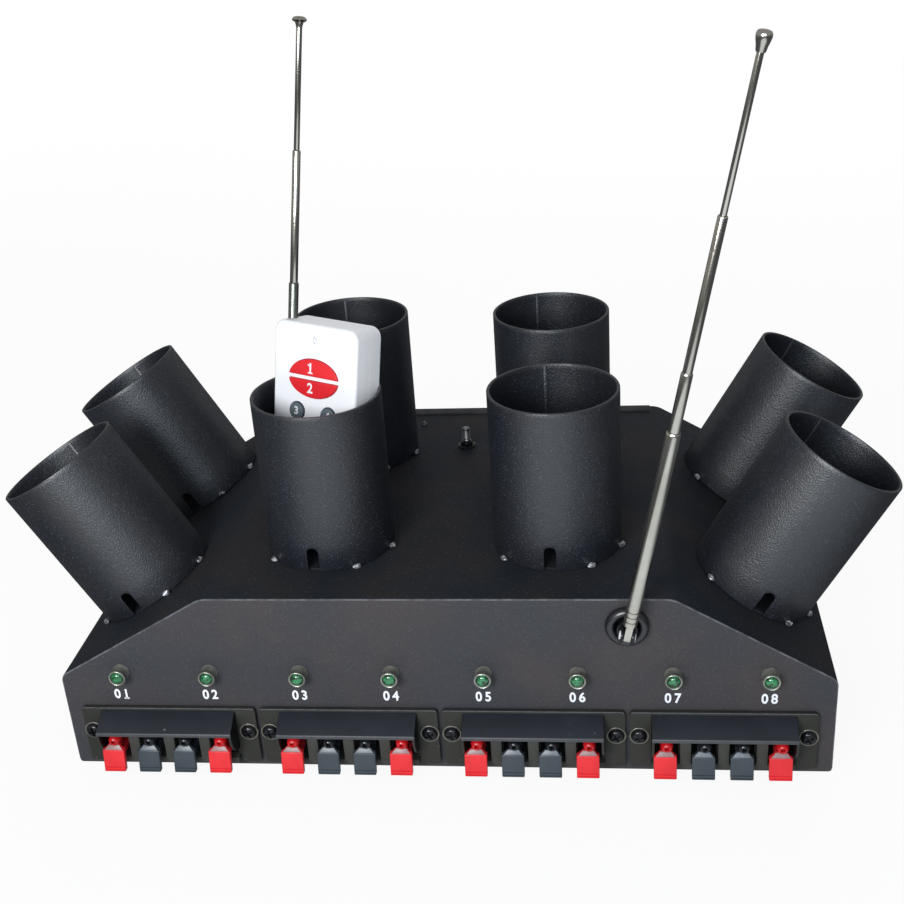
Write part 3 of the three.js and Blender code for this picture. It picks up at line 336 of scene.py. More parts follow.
    @staticmethod
    def prism(name: str, outline: Sequence[Triple], depth: Triple) -> Piece:
        """Draws an outline point by point from one corner, fills it, and extrudes it.

        Args:
            name: Name of the piece.
            outline: Its corners, in order.
            depth: The shift from the first face to the last.

        Returns:
            The closed piece.
        """
        bpy.ops.mesh.primitive_plane_add(size=MM, location=metres(outline[0]))
        piece = Bench.started(name)
        with Bench.editing(piece):
            Bench.pick_all()
            bpy.ops.mesh.merge(type="CENTER")
            for last, corner in zip(outline, [*outline[1:], outline[0]], strict=True):
                Bench.extrude(tuple(Vector(corner) - Vector(last)))
            Bench.pick_all()
            bpy.ops.mesh.remove_doubles(threshold=MERGE_WITHIN)
            bpy.ops.mesh.edge_face_add()
            Bench.extrude(depth)
        Bench.tidy(piece)
        return piece

    @staticmethod
    def modify(piece: Piece, kind: str, **settings: object) -> None:
        """Adds a modifier with its settings and applies it.

        Args:
            piece: The piece.
            kind: Blender's name for the modifier.
            settings: What is set on it.
        """
        Bench.take(piece)
        modifier = piece.modifiers.new(kind.lower(), kind)
        for name, value in settings.items():
            setattr(modifier, name, value)
        bpy.ops.object.modifier_apply(modifier=modifier.name)

    @staticmethod
    def soften(piece: Piece, width: float, segments: int = 2, angle: float = 30) -> None:
        """Rounds every edge that is sharper than an angle in degrees."""
        sharp = {"limit_method": "ANGLE", "angle_limit": math.radians(angle)}
        Bench.modify(piece, "BEVEL", width=width * MM, segments=segments, **sharp)

    @staticmethod
    def thicken(piece: Piece, sheet: float) -> None:
        """Gives a surface the thickness of its sheet, inwards."""
        Bench.modify(piece, "SOLIDIFY", thickness=sheet * MM, offset=-1, use_even_offset=True)

    @staticmethod
    def unite(piece: Piece, other: Piece) -> None:
        """Melts another closed piece into a piece."""
        Bench.modify(piece, "BOOLEAN", operation="UNION", solver="EXACT", object=other)
        Bench.drop(other)

    @staticmethod
    def cut(piece: Piece, *cutters: Piece) -> None:
        """Takes the cutters out of a piece, and removes them.

        Args:
            piece: The piece.
            cutters: Closed pieces that don't meet each other.
        """
        cutter = Bench.join("cutter", *cutters)
        Bench.modify(piece, "BOOLEAN", operation="DIFFERENCE", solver="EXACT", object=cutter)
        Bench.drop(cutter)

    @staticmethod
    def join(name: str, *members: Piece) -> Piece:
        """Makes one piece of several.

        Args:
            name: Name of the piece.
            members: What it is made of.

        Returns:
            The piece.
        """
        Bench.clear()
        for member in members:
            member.select_set(True)
        bpy.context.view_layer.objects.active = members[0]
        if len(members) > 1:
            bpy.ops.object.join()
        members[0].name = name
        members[0].data.name = name
        return members[0]

    @staticmethod
    def place(piece: Piece, stand: Matrix) -> Piece:
        """Sets a piece in its place, and settles that into its mesh."""
        piece.matrix_world = stand
        Bench.take(piece)
        bpy.ops.object.transform_apply(location=True, rotation=True, scale=True)
        return piece

    @staticmethod
    def copy(piece: Piece, name: str, stand: Matrix) -> Piece:
        """Copies a piece, with a mesh of its own, to another place.

        Args:
            piece: The piece to copy.
            name: Name of the copy.
            stand: Its place.

        Returns:
            The copy.
        """
        made = piece.copy()
        made.data = piece.data.copy()
        made.name = name
        made.data.name = name
        bpy.context.collection.objects.link(made)
        return Bench.place(made, stand)

    @staticmethod
    def spread(piece: Piece, name: str, stands: Iterable[Matrix]) -> list[Piece]:
        """Copies a pattern to its places, under a name with {} for the number, and removes it."""
        made = [Bench.copy(piece, name.format(i), stand) for i, stand in enumerate(stands, 1)]
        Bench.drop(piece)
        return made

    @staticmethod
    def drop(*pieces: Piece) -> None:
        """Removes pieces that are used up."""
        for piece in pieces:
            bpy.data.objects.remove(piece)

    @staticmethod
    def smooth(piece: Piece, angle: float = 35) -> None:
        """Shades a piece smooth, but for edges sharper than an angle in degrees."""
        Bench.take(piece)
        bpy.ops.object.shade_smooth_by_angle(angle=math.radians(angle))

    @staticmethod
    def text(name: str, words: str, size: float, weight: float, stand: Matrix) -> Piece:
        """Makes printed figures as a thin mesh.

        Args:
            name: Name of the piece.
            words: The figures.
            size: Their size.
            weight: How far their outlines grow.
            stand: Their place, facing along its own Z.

        Returns:
            The piece.
        """
        bpy.ops.object.text_add()
        curve = bpy.context.active_object.data
        curve.body = words
        curve.size = size * MM
        curve.offset = weight * MM
        curve.extrude = Bench.PRINT_DEPTH * MM
        curve.align_x = "CENTER"
        curve.align_y = "CENTER"
        bpy.ops.object.convert(target="MESH")
        piece = Bench.started(name)
        Bench.tidy(piece)
        return Bench.place(piece, stand)


class Graph:
    """A node tree that is being wired."""

    def __init__(self, tree: bpy.types.NodeTree) -> None:
        """Starts with a tree."""
        self.tree = tree

    def feed(self, socket: Socket, source: object) -> None:
        """Sets a socket to a value, or links another socket to it."""
        if isinstance(source, Socket):
            self.tree.links.new(source, socket)
        else:
            socket.default_value = source

    def supply(self, node: bpy.types.Node, feeds: dict[str | int, object]) -> bpy.types.Node:
        """Feeds inputs of a node, given by name or number."""
        for key, source in feeds.items():
            self.feed(node.inputs[key], source)
        return node

    def node(self, kind: str, feeds: dict[str | int, object], **settings: object) -> bpy.types.Node:
        """Adds a node.

        Args:
            kind: Its type.
            feeds: What its inputs take, by name or number.
            settings: Properties that are set on it.

        Returns:
            The node.
        """
        node = self.tree.nodes.new(kind)
        for name, value in settings.items():
            setattr(node, name, value)
        return self.supply(node, feeds)

    def group(self, tree: bpy.types.NodeTree, feeds: dict[str, object]) -> bpy.types.NodeOutputs:
        """Adds a node group, and gives its outputs."""
        return self.node("ShaderNodeGroup", feeds, node_tree=tree).outputs

    def place(self) -> Socket:
        """Gives the place on the object, in metres."""
        return self.node("ShaderNodeTexCoord", {}).outputs["Object"]

    def math(self, operation: str, first: object, second: object) -> Socket:
        """Adds a math node, and gives its result."""
        return self.node("ShaderNodeMath", {0: first, 1: second}, operation=operation).outputs[0]

    def ramp(self, source: object, low: object, high: object) -> Socket:
        """Stretches the range from low to high to the range from zero to one."""
        feeds = {"Value": source, "From Min": low, "From Max": high}
        node = self.node("ShaderNodeMapRange", feeds, interpolation_type="SMOOTHSTEP")
        return node.outputs["Result"]

    def mix(self, share: object, first: object, second: object) -> Socket:
        """Mixes two colours, by the share of the second."""
        feeds = {"Factor": share, 6: first, 7: second}
        return self.node("ShaderNodeMix", feeds, data_type="RGBA").outputs[2]

    def noise(self, place: object, scale: object, detail: float) -> Socket:
        """Adds a noise texture with its scale per metre and its octaves, and gives its value."""
        feeds = {"Vector": place, "Scale": scale, "Detail": detail}
        return self.node("ShaderNodeTexNoise", feeds).outputs["Fac"]

    def straight(self) -> Socket:
        """Gives one for a ray from the camera or through something clear, and else zero."""
        path = self.node("ShaderNodeLightPath", {}).outputs
        return self.math("MAXIMUM", path["Is Camera Ray"], path["Is Transmission Ray"])


class Patterns:
    """Node groups that several finishes share, each made once."""

    KINDS = {
        "Vector": "NodeSocketVector",
        "Colour": "NodeSocketColor",
        "Shade": "NodeSocketColor",
        "Speck": "NodeSocketColor",
    }

    @classmethod
    def group(
        cls, name: str, inputs: str, outputs: str, draw: Callable[[Graph, dict, dict], None]
    ) -> bpy.types.NodeTree:
        """Gives a node group, and draws it when it is first asked for.

        Args:
            name: Its name.
            inputs: Names of its inputs, which are numbers where KINDS doesn't give another kind.
            outputs: Names of its outputs.
            draw: Wires it.

        Returns:
            The group.
        """
        if name in bpy.data.node_groups:
            return bpy.data.node_groups[name]
        tree = bpy.data.node_groups.new(name, "ShaderNodeTree")
        for titles, side in ((inputs.split(), "INPUT"), (outputs.split(), "OUTPUT")):
            for title in titles:
                kind = cls.KINDS.get(title, "NodeSocketFloat")
                tree.interface.new_socket(title, in_out=side, socket_type=kind)
        graph = Graph(tree)
        entry = graph.node("NodeGroupInput", {}).outputs
        leaving = graph.node("NodeGroupOutput", {}).inputs
        draw(graph, {k: entry[k] for k in inputs.split()}, {k: leaving[k] for k in outputs.split()})
        return tree

    @classmethod
    def grain(cls) -> bpy.types.NodeTree:
        """Gives the pebbled relief of paint or moulded plastic."""

        def draw(graph: Graph, given: dict, made: dict) -> None:
            """Wires two sizes of pebble to a height."""
            coarser, height = 0.28, 0.3
            fine = graph.noise(given["Vector"], given["Scale"], 2)
            scale = graph.math("MULTIPLY", given["Scale"], coarser)
            wide = graph.math("MULTIPLY", graph.noise(given["Vector"], scale, 1), height)
            both = graph.math("ADD", fine, wide)
            graph.feed(made["Height"], graph.math("MULTIPLY", both, given["Depth"]))

        return cls.group("pebbled_grain", "Vector Scale Depth", "Height", draw)

    @classmethod
    def mottle(cls) -> bpy.types.NodeTree:
        """Gives the cloudy change of tone and gloss over a surface."""

        def draw(graph: Graph, given: dict, made: dict) -> None:
            """Wires one cloud to tone and a finer one to gloss."""
            clear, full, finer, middle = 0.34, 0.66, 3.1, 0.5
            cloud = graph.ramp(graph.noise(given["Vector"], given["Scale"], 5), clear, full)
            share = graph.math("MULTIPLY", cloud, given["Amount"])
            graph.feed(made["Colour"], graph.mix(share, given["Colour"], given["Shade"]))
            scale = graph.math("MULTIPLY", given["Scale"], finer)
            gloss = graph.math("SUBTRACT", graph.noise(given["Vector"], scale, 3), middle)
            swing = graph.math("MULTIPLY", gloss, given["Spread"])
            graph.feed(made["Roughness"], graph.math("ADD", given["Roughness"], swing))

        inputs = "Vector Scale Amount Colour Shade Roughness Spread"
        return cls.group("cloudy_tone", inputs, "Colour Roughness", draw)

    @classmethod
    def specks_and_sparkle(cls) -> bpy.types.NodeTree:
        """Gives small bright specks: partly the texture of powder paint, dust and plating, partly
        painted sparkle of a glossy grain.
        """

        def draw(graph: Graph, given: dict, made: dict) -> None:
            """Wires a share of small cells to a bright colour."""
            core, edge = 0.12, 0.34
            where = {"Vector": given["Vector"], "Scale": given["Scale"]}
            cells = graph.node("ShaderNodeTexVoronoi", where).outputs
            near = graph.math("SUBTRACT", 1, graph.ramp(cells["Distance"], core, edge))
            chance = graph.node("ShaderNodeSeparateColor", {"Color": cells["Color"]}).outputs
            chosen = graph.math("LESS_THAN", chance["Red"], given["Share"])
            strength = graph.math("MULTIPLY", graph.math("MULTIPLY", near, chosen), chance["Green"])
            graph.feed(made["Colour"], graph.mix(strength, given["Colour"], given["Speck"]))

        return cls.group("specks_and_painted_sparkle", "Vector Scale Share Colour Speck", "Colour", draw)


def colour(code: str) -> tuple[float, float, float, float]:
    """Turns a colour as it is seen on a screen, in six hexadecimal digits, into linear light."""
    parts = [int(code[i : i + 2], 16) / 255 for i in (0, 2, 4)]
    linear = [c / 12.92 if c <= 0.04045 else ((c + 0.055) / 1.055) ** 2.4 for c in parts]
    return (*linear, 1.0)


@dataclass(frozen=True)
class Finish:
    """One finish: a base tone with clouds, specks and a pebbled relief over it."""

    name: str
    tone: str
    shade: str
    roughness: float
    metallic: float = 0.0
    specular: float = 0.5
    spread: float = 0.12
    cloud_scale: float = 45.0
    cloud_share: float = 0.6
    grain_scale: float = 900.0
    grain_depth: float = 0.01
    speck: str = "8a8d92"
    speck_scale: float = 900.0
    speck_share: float = 0.0
    coat: float = 0.0
    coat_roughness: float = 0.08
    glow: float = 0.0

    def material(self) -> bpy.types.Material:
        """Gives the finish as a material, built when it is first asked for.

        Returns:
            The material.
        """
        if self.name in bpy.data.materials:
            return bpy.data.materials[self.name]
        made = bpy.data.materials.new(self.name)
        made.use_nodes = True
        made.diffuse_color = colour(self.tone)
        graph = Graph(made.node_tree)
        place = graph.place()
        cloud = graph.group(Patterns.mottle(), {
            "Vector": place,
            "Scale": self.cloud_scale,
            "Amount": self.cloud_share,
            "Colour": colour(self.tone),
            "Shade": colour(self.shade),
            "Roughness": self.roughness,
            "Spread": self.spread,
        })
        paint = cloud["Colour"]
        if self.speck_share > 0:
            paint = graph.group(Patterns.specks_and_sparkle(), {
                "Vector": place,
                "Scale": self.speck_scale,
                "Share": self.speck_share,
                "Colour": paint,
                "Speck": colour(self.speck),
            })["Colour"]
        grain = graph.group(Patterns.grain(), {
            "Vector": place,
            "Scale": self.grain_scale,
            "Depth": self.grain_depth * MM,
        })
        bump = graph.node("ShaderNodeBump", {"Distance": 1.0, "Height": grain["Height"]})
        look = {
            "Base Color": paint,
            "Roughness": cloud["Roughness"],
            "Normal": bump.outputs["Normal"],
            "Metallic": self.metallic,
            "Specular IOR Level": self.specular,
            "Coat Weight": self.coat,
            "Coat Roughness": self.coat_roughness,
        }
        if self.glow > 0:
            look |= {"Emission Color": paint, "Emission Strength": self.glow}
        graph.supply(made.node_tree.nodes["Principled BSDF"], look)
        return made


PANEL_COAT = Finish(
    "panel_coat", "423e3f", "3a3b3f", 0.55, specular=0.2, spread=0.1, cloud_scale=26,
    cloud_share=1.0, grain_scale=1300, grain_depth=0.16, speck="6a6c72", speck_scale=1100,
    speck_share=0.55,
)
# Painted highlight: a lighter copy of the panel coat for the narrow rounded edges round the front
# and back panels.
FOLD_HIGHLIGHT_COAT = Finish(
    "fold_painted_highlight", "66686c", "46474b", 0.5, specular=0.25, cloud_scale=300, cloud_share=0.9,
    grain_depth=0.02,
)
# Painted shade: a darker copy of the panel coat for the deck, the slopes, the side walls and the
# tube seats, which face away from the front light.
DECK_SHADE_COAT = Finish(
    "deck_painted_shade", "29282a", "20242a", 0.6, specular=0.1, spread=0.1, cloud_scale=32,
    cloud_share=1.0, grain_scale=1200, grain_depth=0.16, speck="4c4e52", speck_scale=900,
    speck_share=0.25,
)
FLANGE_COAT = Finish(
    "flange_coat", "403f40", "2f3134", 0.6, specular=0.1, cloud_scale=120, cloud_share=0.8,
    grain_depth=0.1,
)
# The tube paint's bright bluish specks are painted sparkle of its pebbled grain.
TUBE_COAT = Finish(
    "tube_paint", "1b1c21", "161a22", 0.42, specular=1.0, spread=0.16, cloud_scale=24,
    cloud_share=1.0, grain_scale=1700, grain_depth=0.16, speck="5c667a", speck_scale=1400,
    speck_share=0.45,
)
# Painted highlight: a lighter, glossier copy of the tube paint for the tubes' top rims.
RIM_HIGHLIGHT_COAT = Finish(
    "rim_painted_highlight", "303236", "242629", 0.36, specular=0.6, cloud_scale=220, grain_depth=0.03,
)
# Weld beads: bright metal clouded with a dark tone; the bright patches are partly bare weld metal
# and partly painted glints.
WELD_METAL_AND_GLINT = Finish(
    "weld_metal_and_painted_glint", "c4c4c7", "2e2f33", 0.28, metallic=0.5, cloud_scale=700, cloud_share=1.0,
    grain_scale=2600, grain_depth=0.08,
)
BLOCK_PLASTIC = Finish(
    "block_plastic", "33332f", "2c2d29", 0.5, specular=0.2, cloud_scale=60, grain_scale=2200,
    grain_depth=0.02, speck="5a5c5a", speck_scale=700, speck_share=0.03,
)
# Painted shade with a bluish painted reflection: a darker, bluish copy of the block plastic for the
# hood's upward faces.
HOOD_SHADE_PLASTIC = Finish(
    "hood_painted_shade", "282b32", "212429", 0.42, specular=0.35, cloud_scale=60, grain_scale=2200,
    grain_depth=0.02, speck="6a6e76", speck_scale=500, speck_share=0.03,
)
# Painted highlight: a lighter copy of the block plastic for the front faces of the hood's lip.
LIP_HIGHLIGHT_PLASTIC = Finish("lip_painted_highlight", "434447", "37393c", 0.45, cloud_scale=200)
# Painted highlight: a lighter copy of the block plastic for the rounded upper edge of the plate.
EDGE_HIGHLIGHT_PLASTIC = Finish("edge_plastic", "606165", "46484c", 0.4, cloud_scale=300, cloud_share=0.9)
# Painted light: a lighter copy of the block plastic for the fascia, sill and walls under the hood,
# against the hood's shade.
FASCIA_LIGHT_PLASTIC = Finish(
    "fascia_painted_light", "444440", "3a3a35", 0.55, specular=0.2, cloud_scale=90, grain_depth=0.02,
)
# Painted shade: a near-black copy of the block plastic for the side faces of the hood's cheeks.
CHEEK_SHADE_PLASTIC = Finish(
    "cheek_painted_shade", "151517", "0f0f11", 0.5, specular=0.2, cloud_scale=90, grain_depth=0.02,
)
# Blackened steel for the screw heads and the stud's nut and washer; on the antenna fork's ears and
# shank, down in the grommet's hole, the same dark finish is painted shade.
DARK_STEEL_AND_SHADE = Finish(
    "dark_steel_and_painted_shade", "26262a", "18181a", 0.2, metallic=0.5, specular=0.6, cloud_scale=500,
)
SCREW_RING = Finish("screw_ring", "8a887d", "6b6a62", 0.35, metallic=0.6, cloud_scale=500)
GREY_PLASTIC = Finish("grey_lever_plastic", "3a4148", "333940", 0.38, cloud_scale=140)
GREY_PEG = Finish("grey_lever_peg", "191c20", "121417", 0.22, cloud_scale=140)
RED_PEG = Finish("red_lever_peg", "c8181f", "a81118", 0.25, cloud_scale=140)
# Painted glints: paler copies of the lever plastics for the front faces of the shoulders.
RED_SHOULDER_GLINT = Finish("red_shoulder_painted_glint", "91716f", "7c5657", 0.35, cloud_scale=500)
GREY_SHOULDER_GLINT = Finish("grey_shoulder_painted_glint", "686d72", "4e545a", 0.35, cloud_scale=500)
RED_PLASTIC = Finish("red_lever_plastic", "e02b31", "cf2129", 0.4, specular=0.4, cloud_scale=140)
RED_BUTTON = Finish("red_button_plastic", "e6262e", "d8202a", 0.45, specular=0.4, cloud_scale=140)
WHITE_PLASTIC = Finish("remote_white", "f4f4f6", "efeff1", 0.5, spread=0.06, cloud_scale=30)
KEY_PLASTIC = Finish("key_grey_plastic", "667276", "57646a", 0.5, cloud_scale=140)
# Painted shade: a darker copy of the key grey for the sides of the round keys.
KEY_SIDE_SHADE = Finish("key_side_painted_shade", "39464a", "303c40", 0.5, cloud_scale=140)
PRINT_WHITE = Finish("printed_white", "f2f2f6", "e2e2ea", 0.6, cloud_scale=900, cloud_share=0.5)
LENS_GREEN = Finish(
    "lens_green", "23804a", "04280f", 0.1, specular=0.6, cloud_scale=620, cloud_share=1.0,
    grain_depth=0.0, coat=1.0, coat_roughness=0.03, glow=0.05,
)
BEZEL_CHROME = Finish(
    "bezel_chrome", "a3a79c", "77796f", 0.3, metallic=0.75, spread=0.1, grain_depth=0.004,
)
BARREL_METAL = Finish("barrel_metal", "96968d", "65655f", 0.42, metallic=0.5, cloud_scale=400)
NICKEL = Finish(
    "antenna_nickel", "d9d5ca", "b3afa4", 0.16, metallic=1.0, spread=0.08, grain_depth=0.004,
)
STUB_NICKEL = Finish(
    "stub_nickel", "85887f", "5f625a", 0.26, metallic=0.9, cloud_scale=200, grain_depth=0.004,
)
ZINC = Finish(
    "zinc_plate", "b4b6b8", "8f9194", 0.34, metallic=1.0, spread=0.2, cloud_scale=300,
    grain_depth=0.008,
)
RUBBER = Finish("moulded_rubber", "17171b", "101014", 0.32, specular=0.9, cloud_scale=200)
BATTERY = Finish("battery_wrap", "35373b", "2b2d31", 0.45, cloud_scale=60, grain_depth=0.04)
BOARD = Finish("board_mask", "1d5b35", "17492b", 0.4, cloud_scale=160)


def wear(piece: Piece, *finishes: Finish, angle: float | None = None) -> Piece:
    """Gives a piece its finishes, in the order of its material indices, and may shade it smooth.

    Args:
        piece: The piece.
        finishes: Its finishes.
        angle: The angle in degrees above which an edge stays sharp, if it is to be shaded.

    Returns:
        The piece.
    """
    piece.data.materials.clear()
    for finish in finishes:
        piece.data.materials.append(finish.material())
    if angle is not None:
        Bench.smooth(piece, angle)
    return piece


def runs_deep(first: Vector, second: Vector, normals: list[Vector]) -> bool:
    """Says whether an edge runs from front to back."""
    return abs(first.y - second.y) > 1


def refinish(piece: Piece, index: int, wanted: FaceTest = lambda c, n: True) -> None:
    """Gives another of its finishes to faces chosen by their middle and their normal.

    Args:
        piece: The piece.
        index: Which of its finishes.
        wanted: Says whether a face takes it, which all do without it.
    """
    for face in piece.data.polygons:
        if wanted(face.center / MM, face.normal):
            face.material_index = index


def stand_in(piece: Piece, slot: Slot, body: str, *nodes: str) -> None:
    """Makes a finished piece ride on its body in place of CAD nodes.

    Args:
        piece: The piece.
        slot: The record's slot of its finish, which is not used.
        body: The body that it rides on.
        nodes: The nodes that it stands for.
    """
    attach(piece, body)
    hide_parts(*nodes)
    faces = len(piece.data.polygons)
    LOG.info("%s rides on %s for %s, %d faces", piece.name, body, ", ".join(nodes), faces)


@dataclass(frozen=True)
class Softbox:
    """A square lamp that faces the object: its side is in metres and its power in watts."""

    name: str
    place: Triple
    side: float
    power: float
    tint: Triple
    hidden: bool = False

    def hang(self) -> None:
        """Hangs the lamp at its place, turned to the middle of the object."""
        data = bpy.data.lights.new(self.name, "AREA")
        data.size = self.side
        data.energy = self.power
        data.color = self.tint
        lamp = bpy.data.objects.new(self.name, data)
        towards = metres(LAMP_TARGET) - metres(self.place)
        lamp.rotation_euler = towards.to_track_quat("-Z", "Y").to_euler()
        lamp.location = metres(self.place)
        bpy.context.collection.objects.link(lamp)
        if self.hidden:
            lamp.visible_glossy = False
            lamp.visible_camera = False


@dataclass
class Studio:
    """Camera, lamps, sky and floor."""

    place: Triple = (70.853, -523.160, 353.458)
    yaw: float = -0.122933
    pitch: float = 0.452038
    roll: float = -0.0648444
    focal: float = 1332.67
    centre: Pair = (466.451, 468.283)
    picture: int = 904
    sensor: float = 36.0
    clip: Pair = (0.01, 50)
    sky_level: float = 0.3
    floor_white: float = 0.92
    pale_from: float = 0.5
    pale_to: float = 1.6
    card_middle: Pair = (0.05, -0.5)
    card_reach: Pair = (0.42, 0.55)
    card_glow: Pair = (0.1, 0.95)
    floor_side: float = 12.0
    floor_tone: float = 0.86
    floor_roughness: float = 0.9
    floor_specular: float = 0.1
    mirror_tint: Triple = (0.88, 0.94, 1.0)
    lamps: tuple[Softbox, ...] = (
        Softbox("key_softbox", (-220, -760, 440), 0.3, 5.1, (0.95, 0.975, 1.0)),
        Softbox("fill_softbox", (190, -900, 480), 0.45, 2.1, (0.7, 0.85, 1.0)),
        Softbox("back_softbox", (250, 1700, 700), 1.6, 27.0, (0.97, 0.98, 1.0), hidden=True),
    )

    def build(self) -> None:
        """Builds the whole studio."""
        self.camera()
        self.sky()
        self.floor()
        for lamp in self.lamps:
            lamp.hang()
        bpy.context.scene.view_settings.view_transform = "Standard"

    def camera(self) -> None:
        """Sets the camera where the photograph was taken."""
        ahead = Vector((
            math.sin(self.yaw) * math.cos(self.pitch),
            math.cos(self.yaw) * math.cos(self.pitch),
            -math.sin(self.pitch),
        ))
        level = Vector((math.cos(self.yaw), -math.sin(self.yaw), 0))
        above = level.cross(ahead)
        right = math.cos(self.roll) * level + math.sin(self.roll) * above
        up = -math.sin(self.roll) * level + math.cos(self.roll) * above
        data = bpy.data.cameras.new("photo_camera")
        data.sensor_width = self.sensor
        data.lens = self.sensor * self.focal / self.picture
        data.shift_x = 0.5 - self.centre[0] / self.picture
        data.shift_y = self.centre[1] / self.picture - 0.5
        data.clip_start, data.clip_end = self.clip
        camera = bpy.data.objects.new("photo_camera", data)
        turn = Matrix((right, up, -ahead)).transposed().to_4x4()
        camera.matrix_world = moved(self.place) @ turn
        bpy.context.collection.objects.link(camera)
        bpy.context.scene.camera = camera

    def sky(self) -> None:
        """Makes a plain sky that shows white and lights softly."""
        world = bpy.data.worlds.new("plain_sky")
        world.use_nodes = True
        graph = Graph(world.node_tree)
        shown = graph.math("MULTIPLY", graph.straight(), 1 - self.sky_level)
        strength = graph.math("ADD", shown, self.sky_level)
        back = world.node_tree.nodes["Background"]
        graph.supply(back, {"Color": (1, 1, 1, 1), "Strength": strength})
        bpy.context.scene.world = world

    @staticmethod
    def oval(graph: Graph, middle: Pair, reach: Pair) -> Socket:
        """Gives the square of the distance from a point of the floor, as a share of a reach.

        Args:
            graph: The tree that is being wired.
            middle: The point, in metres.
            reach: The reach along both sides, in metres.

        Returns:
            The squared share, which is one at the reach.
        """
        place = graph.node("ShaderNodeSeparateXYZ", {0: graph.place()}).outputs
        squares = []
        for axis, centre, far in zip("XY", middle, reach, strict=True):
            share = graph.math("DIVIDE", graph.math("SUBTRACT", place[axis], centre), far)
            squares.append(graph.math("MULTIPLY", share, share))
        return graph.math("ADD", *squares)

    def card(self, graph: Graph) -> Socket:
        """Gives how bright the floor is in a mirror: a white card before the object, else dim.

        Args:
            graph: The tree that is being wired.

        Returns:
            The brightness.
        """
        card = graph.ramp(self.oval(graph, self.card_middle, self.card_reach), 1.0, 0.2)
        dim, bright = self.card_glow
        return graph.math("ADD", graph.math("MULTIPLY", card, bright - dim), dim)

    def white(self, graph: Graph) -> Socket:
        """Gives how much of the floor is plain white to the camera: less near the object.

        Args:
            graph: The tree that is being wired.

        Returns:
            The share.
        """
        far = graph.ramp(self.oval(graph, (0, 0), (1, 1)), self.pale_from**2, self.pale_to**2)
        grown = graph.math("MULTIPLY", far, 1 - self.floor_white)
        return graph.math("ADD", grown, self.floor_white)

    def floor(self) -> None:
        """Lays the pale floor."""
        bpy.ops.mesh.primitive_plane_add(size=self.floor_side, location=(0, 0, 0))
        floor = Bench.started("studio_floor")
        material = bpy.data.materials.new("pale_floor")
        material.use_nodes = True
        graph = Graph(material.node_tree)
        nodes = material.node_tree.nodes
        paint = graph.supply(nodes["Principled BSDF"], {
            "Base Color": (self.floor_tone, self.floor_tone, self.floor_tone, 1),
            "Roughness": self.floor_roughness,
            "Specular IOR Level": self.floor_specular,
        })
        mirror = graph.node("ShaderNodeLightPath", {}).outputs["Is Glossy Ray"]
        dark = graph.math("SUBTRACT", 1, self.card(graph))
        glow = graph.node("ShaderNodeEmission", {
            "Color": graph.mix(mirror, (1, 1, 1, 1), (*self.mirror_tint, 1)),
            "Strength": graph.math("SUBTRACT", 1, graph.math("MULTIPLY", mirror, dark)),
        })
        shown = graph.math("MULTIPLY", graph.straight(), self.white(graph))
        mixer = graph.node("ShaderNodeMixShader", {
            "Fac": graph.math("MAXIMUM", shown, mirror),
            1: paint.outputs["BSDF"],
            2: glow.outputs["Emission"],
        })
        graph.supply(nodes["Material Output"], {"Surface": mixer.outputs["Shader"]})
        floor.data.materials.append(material)


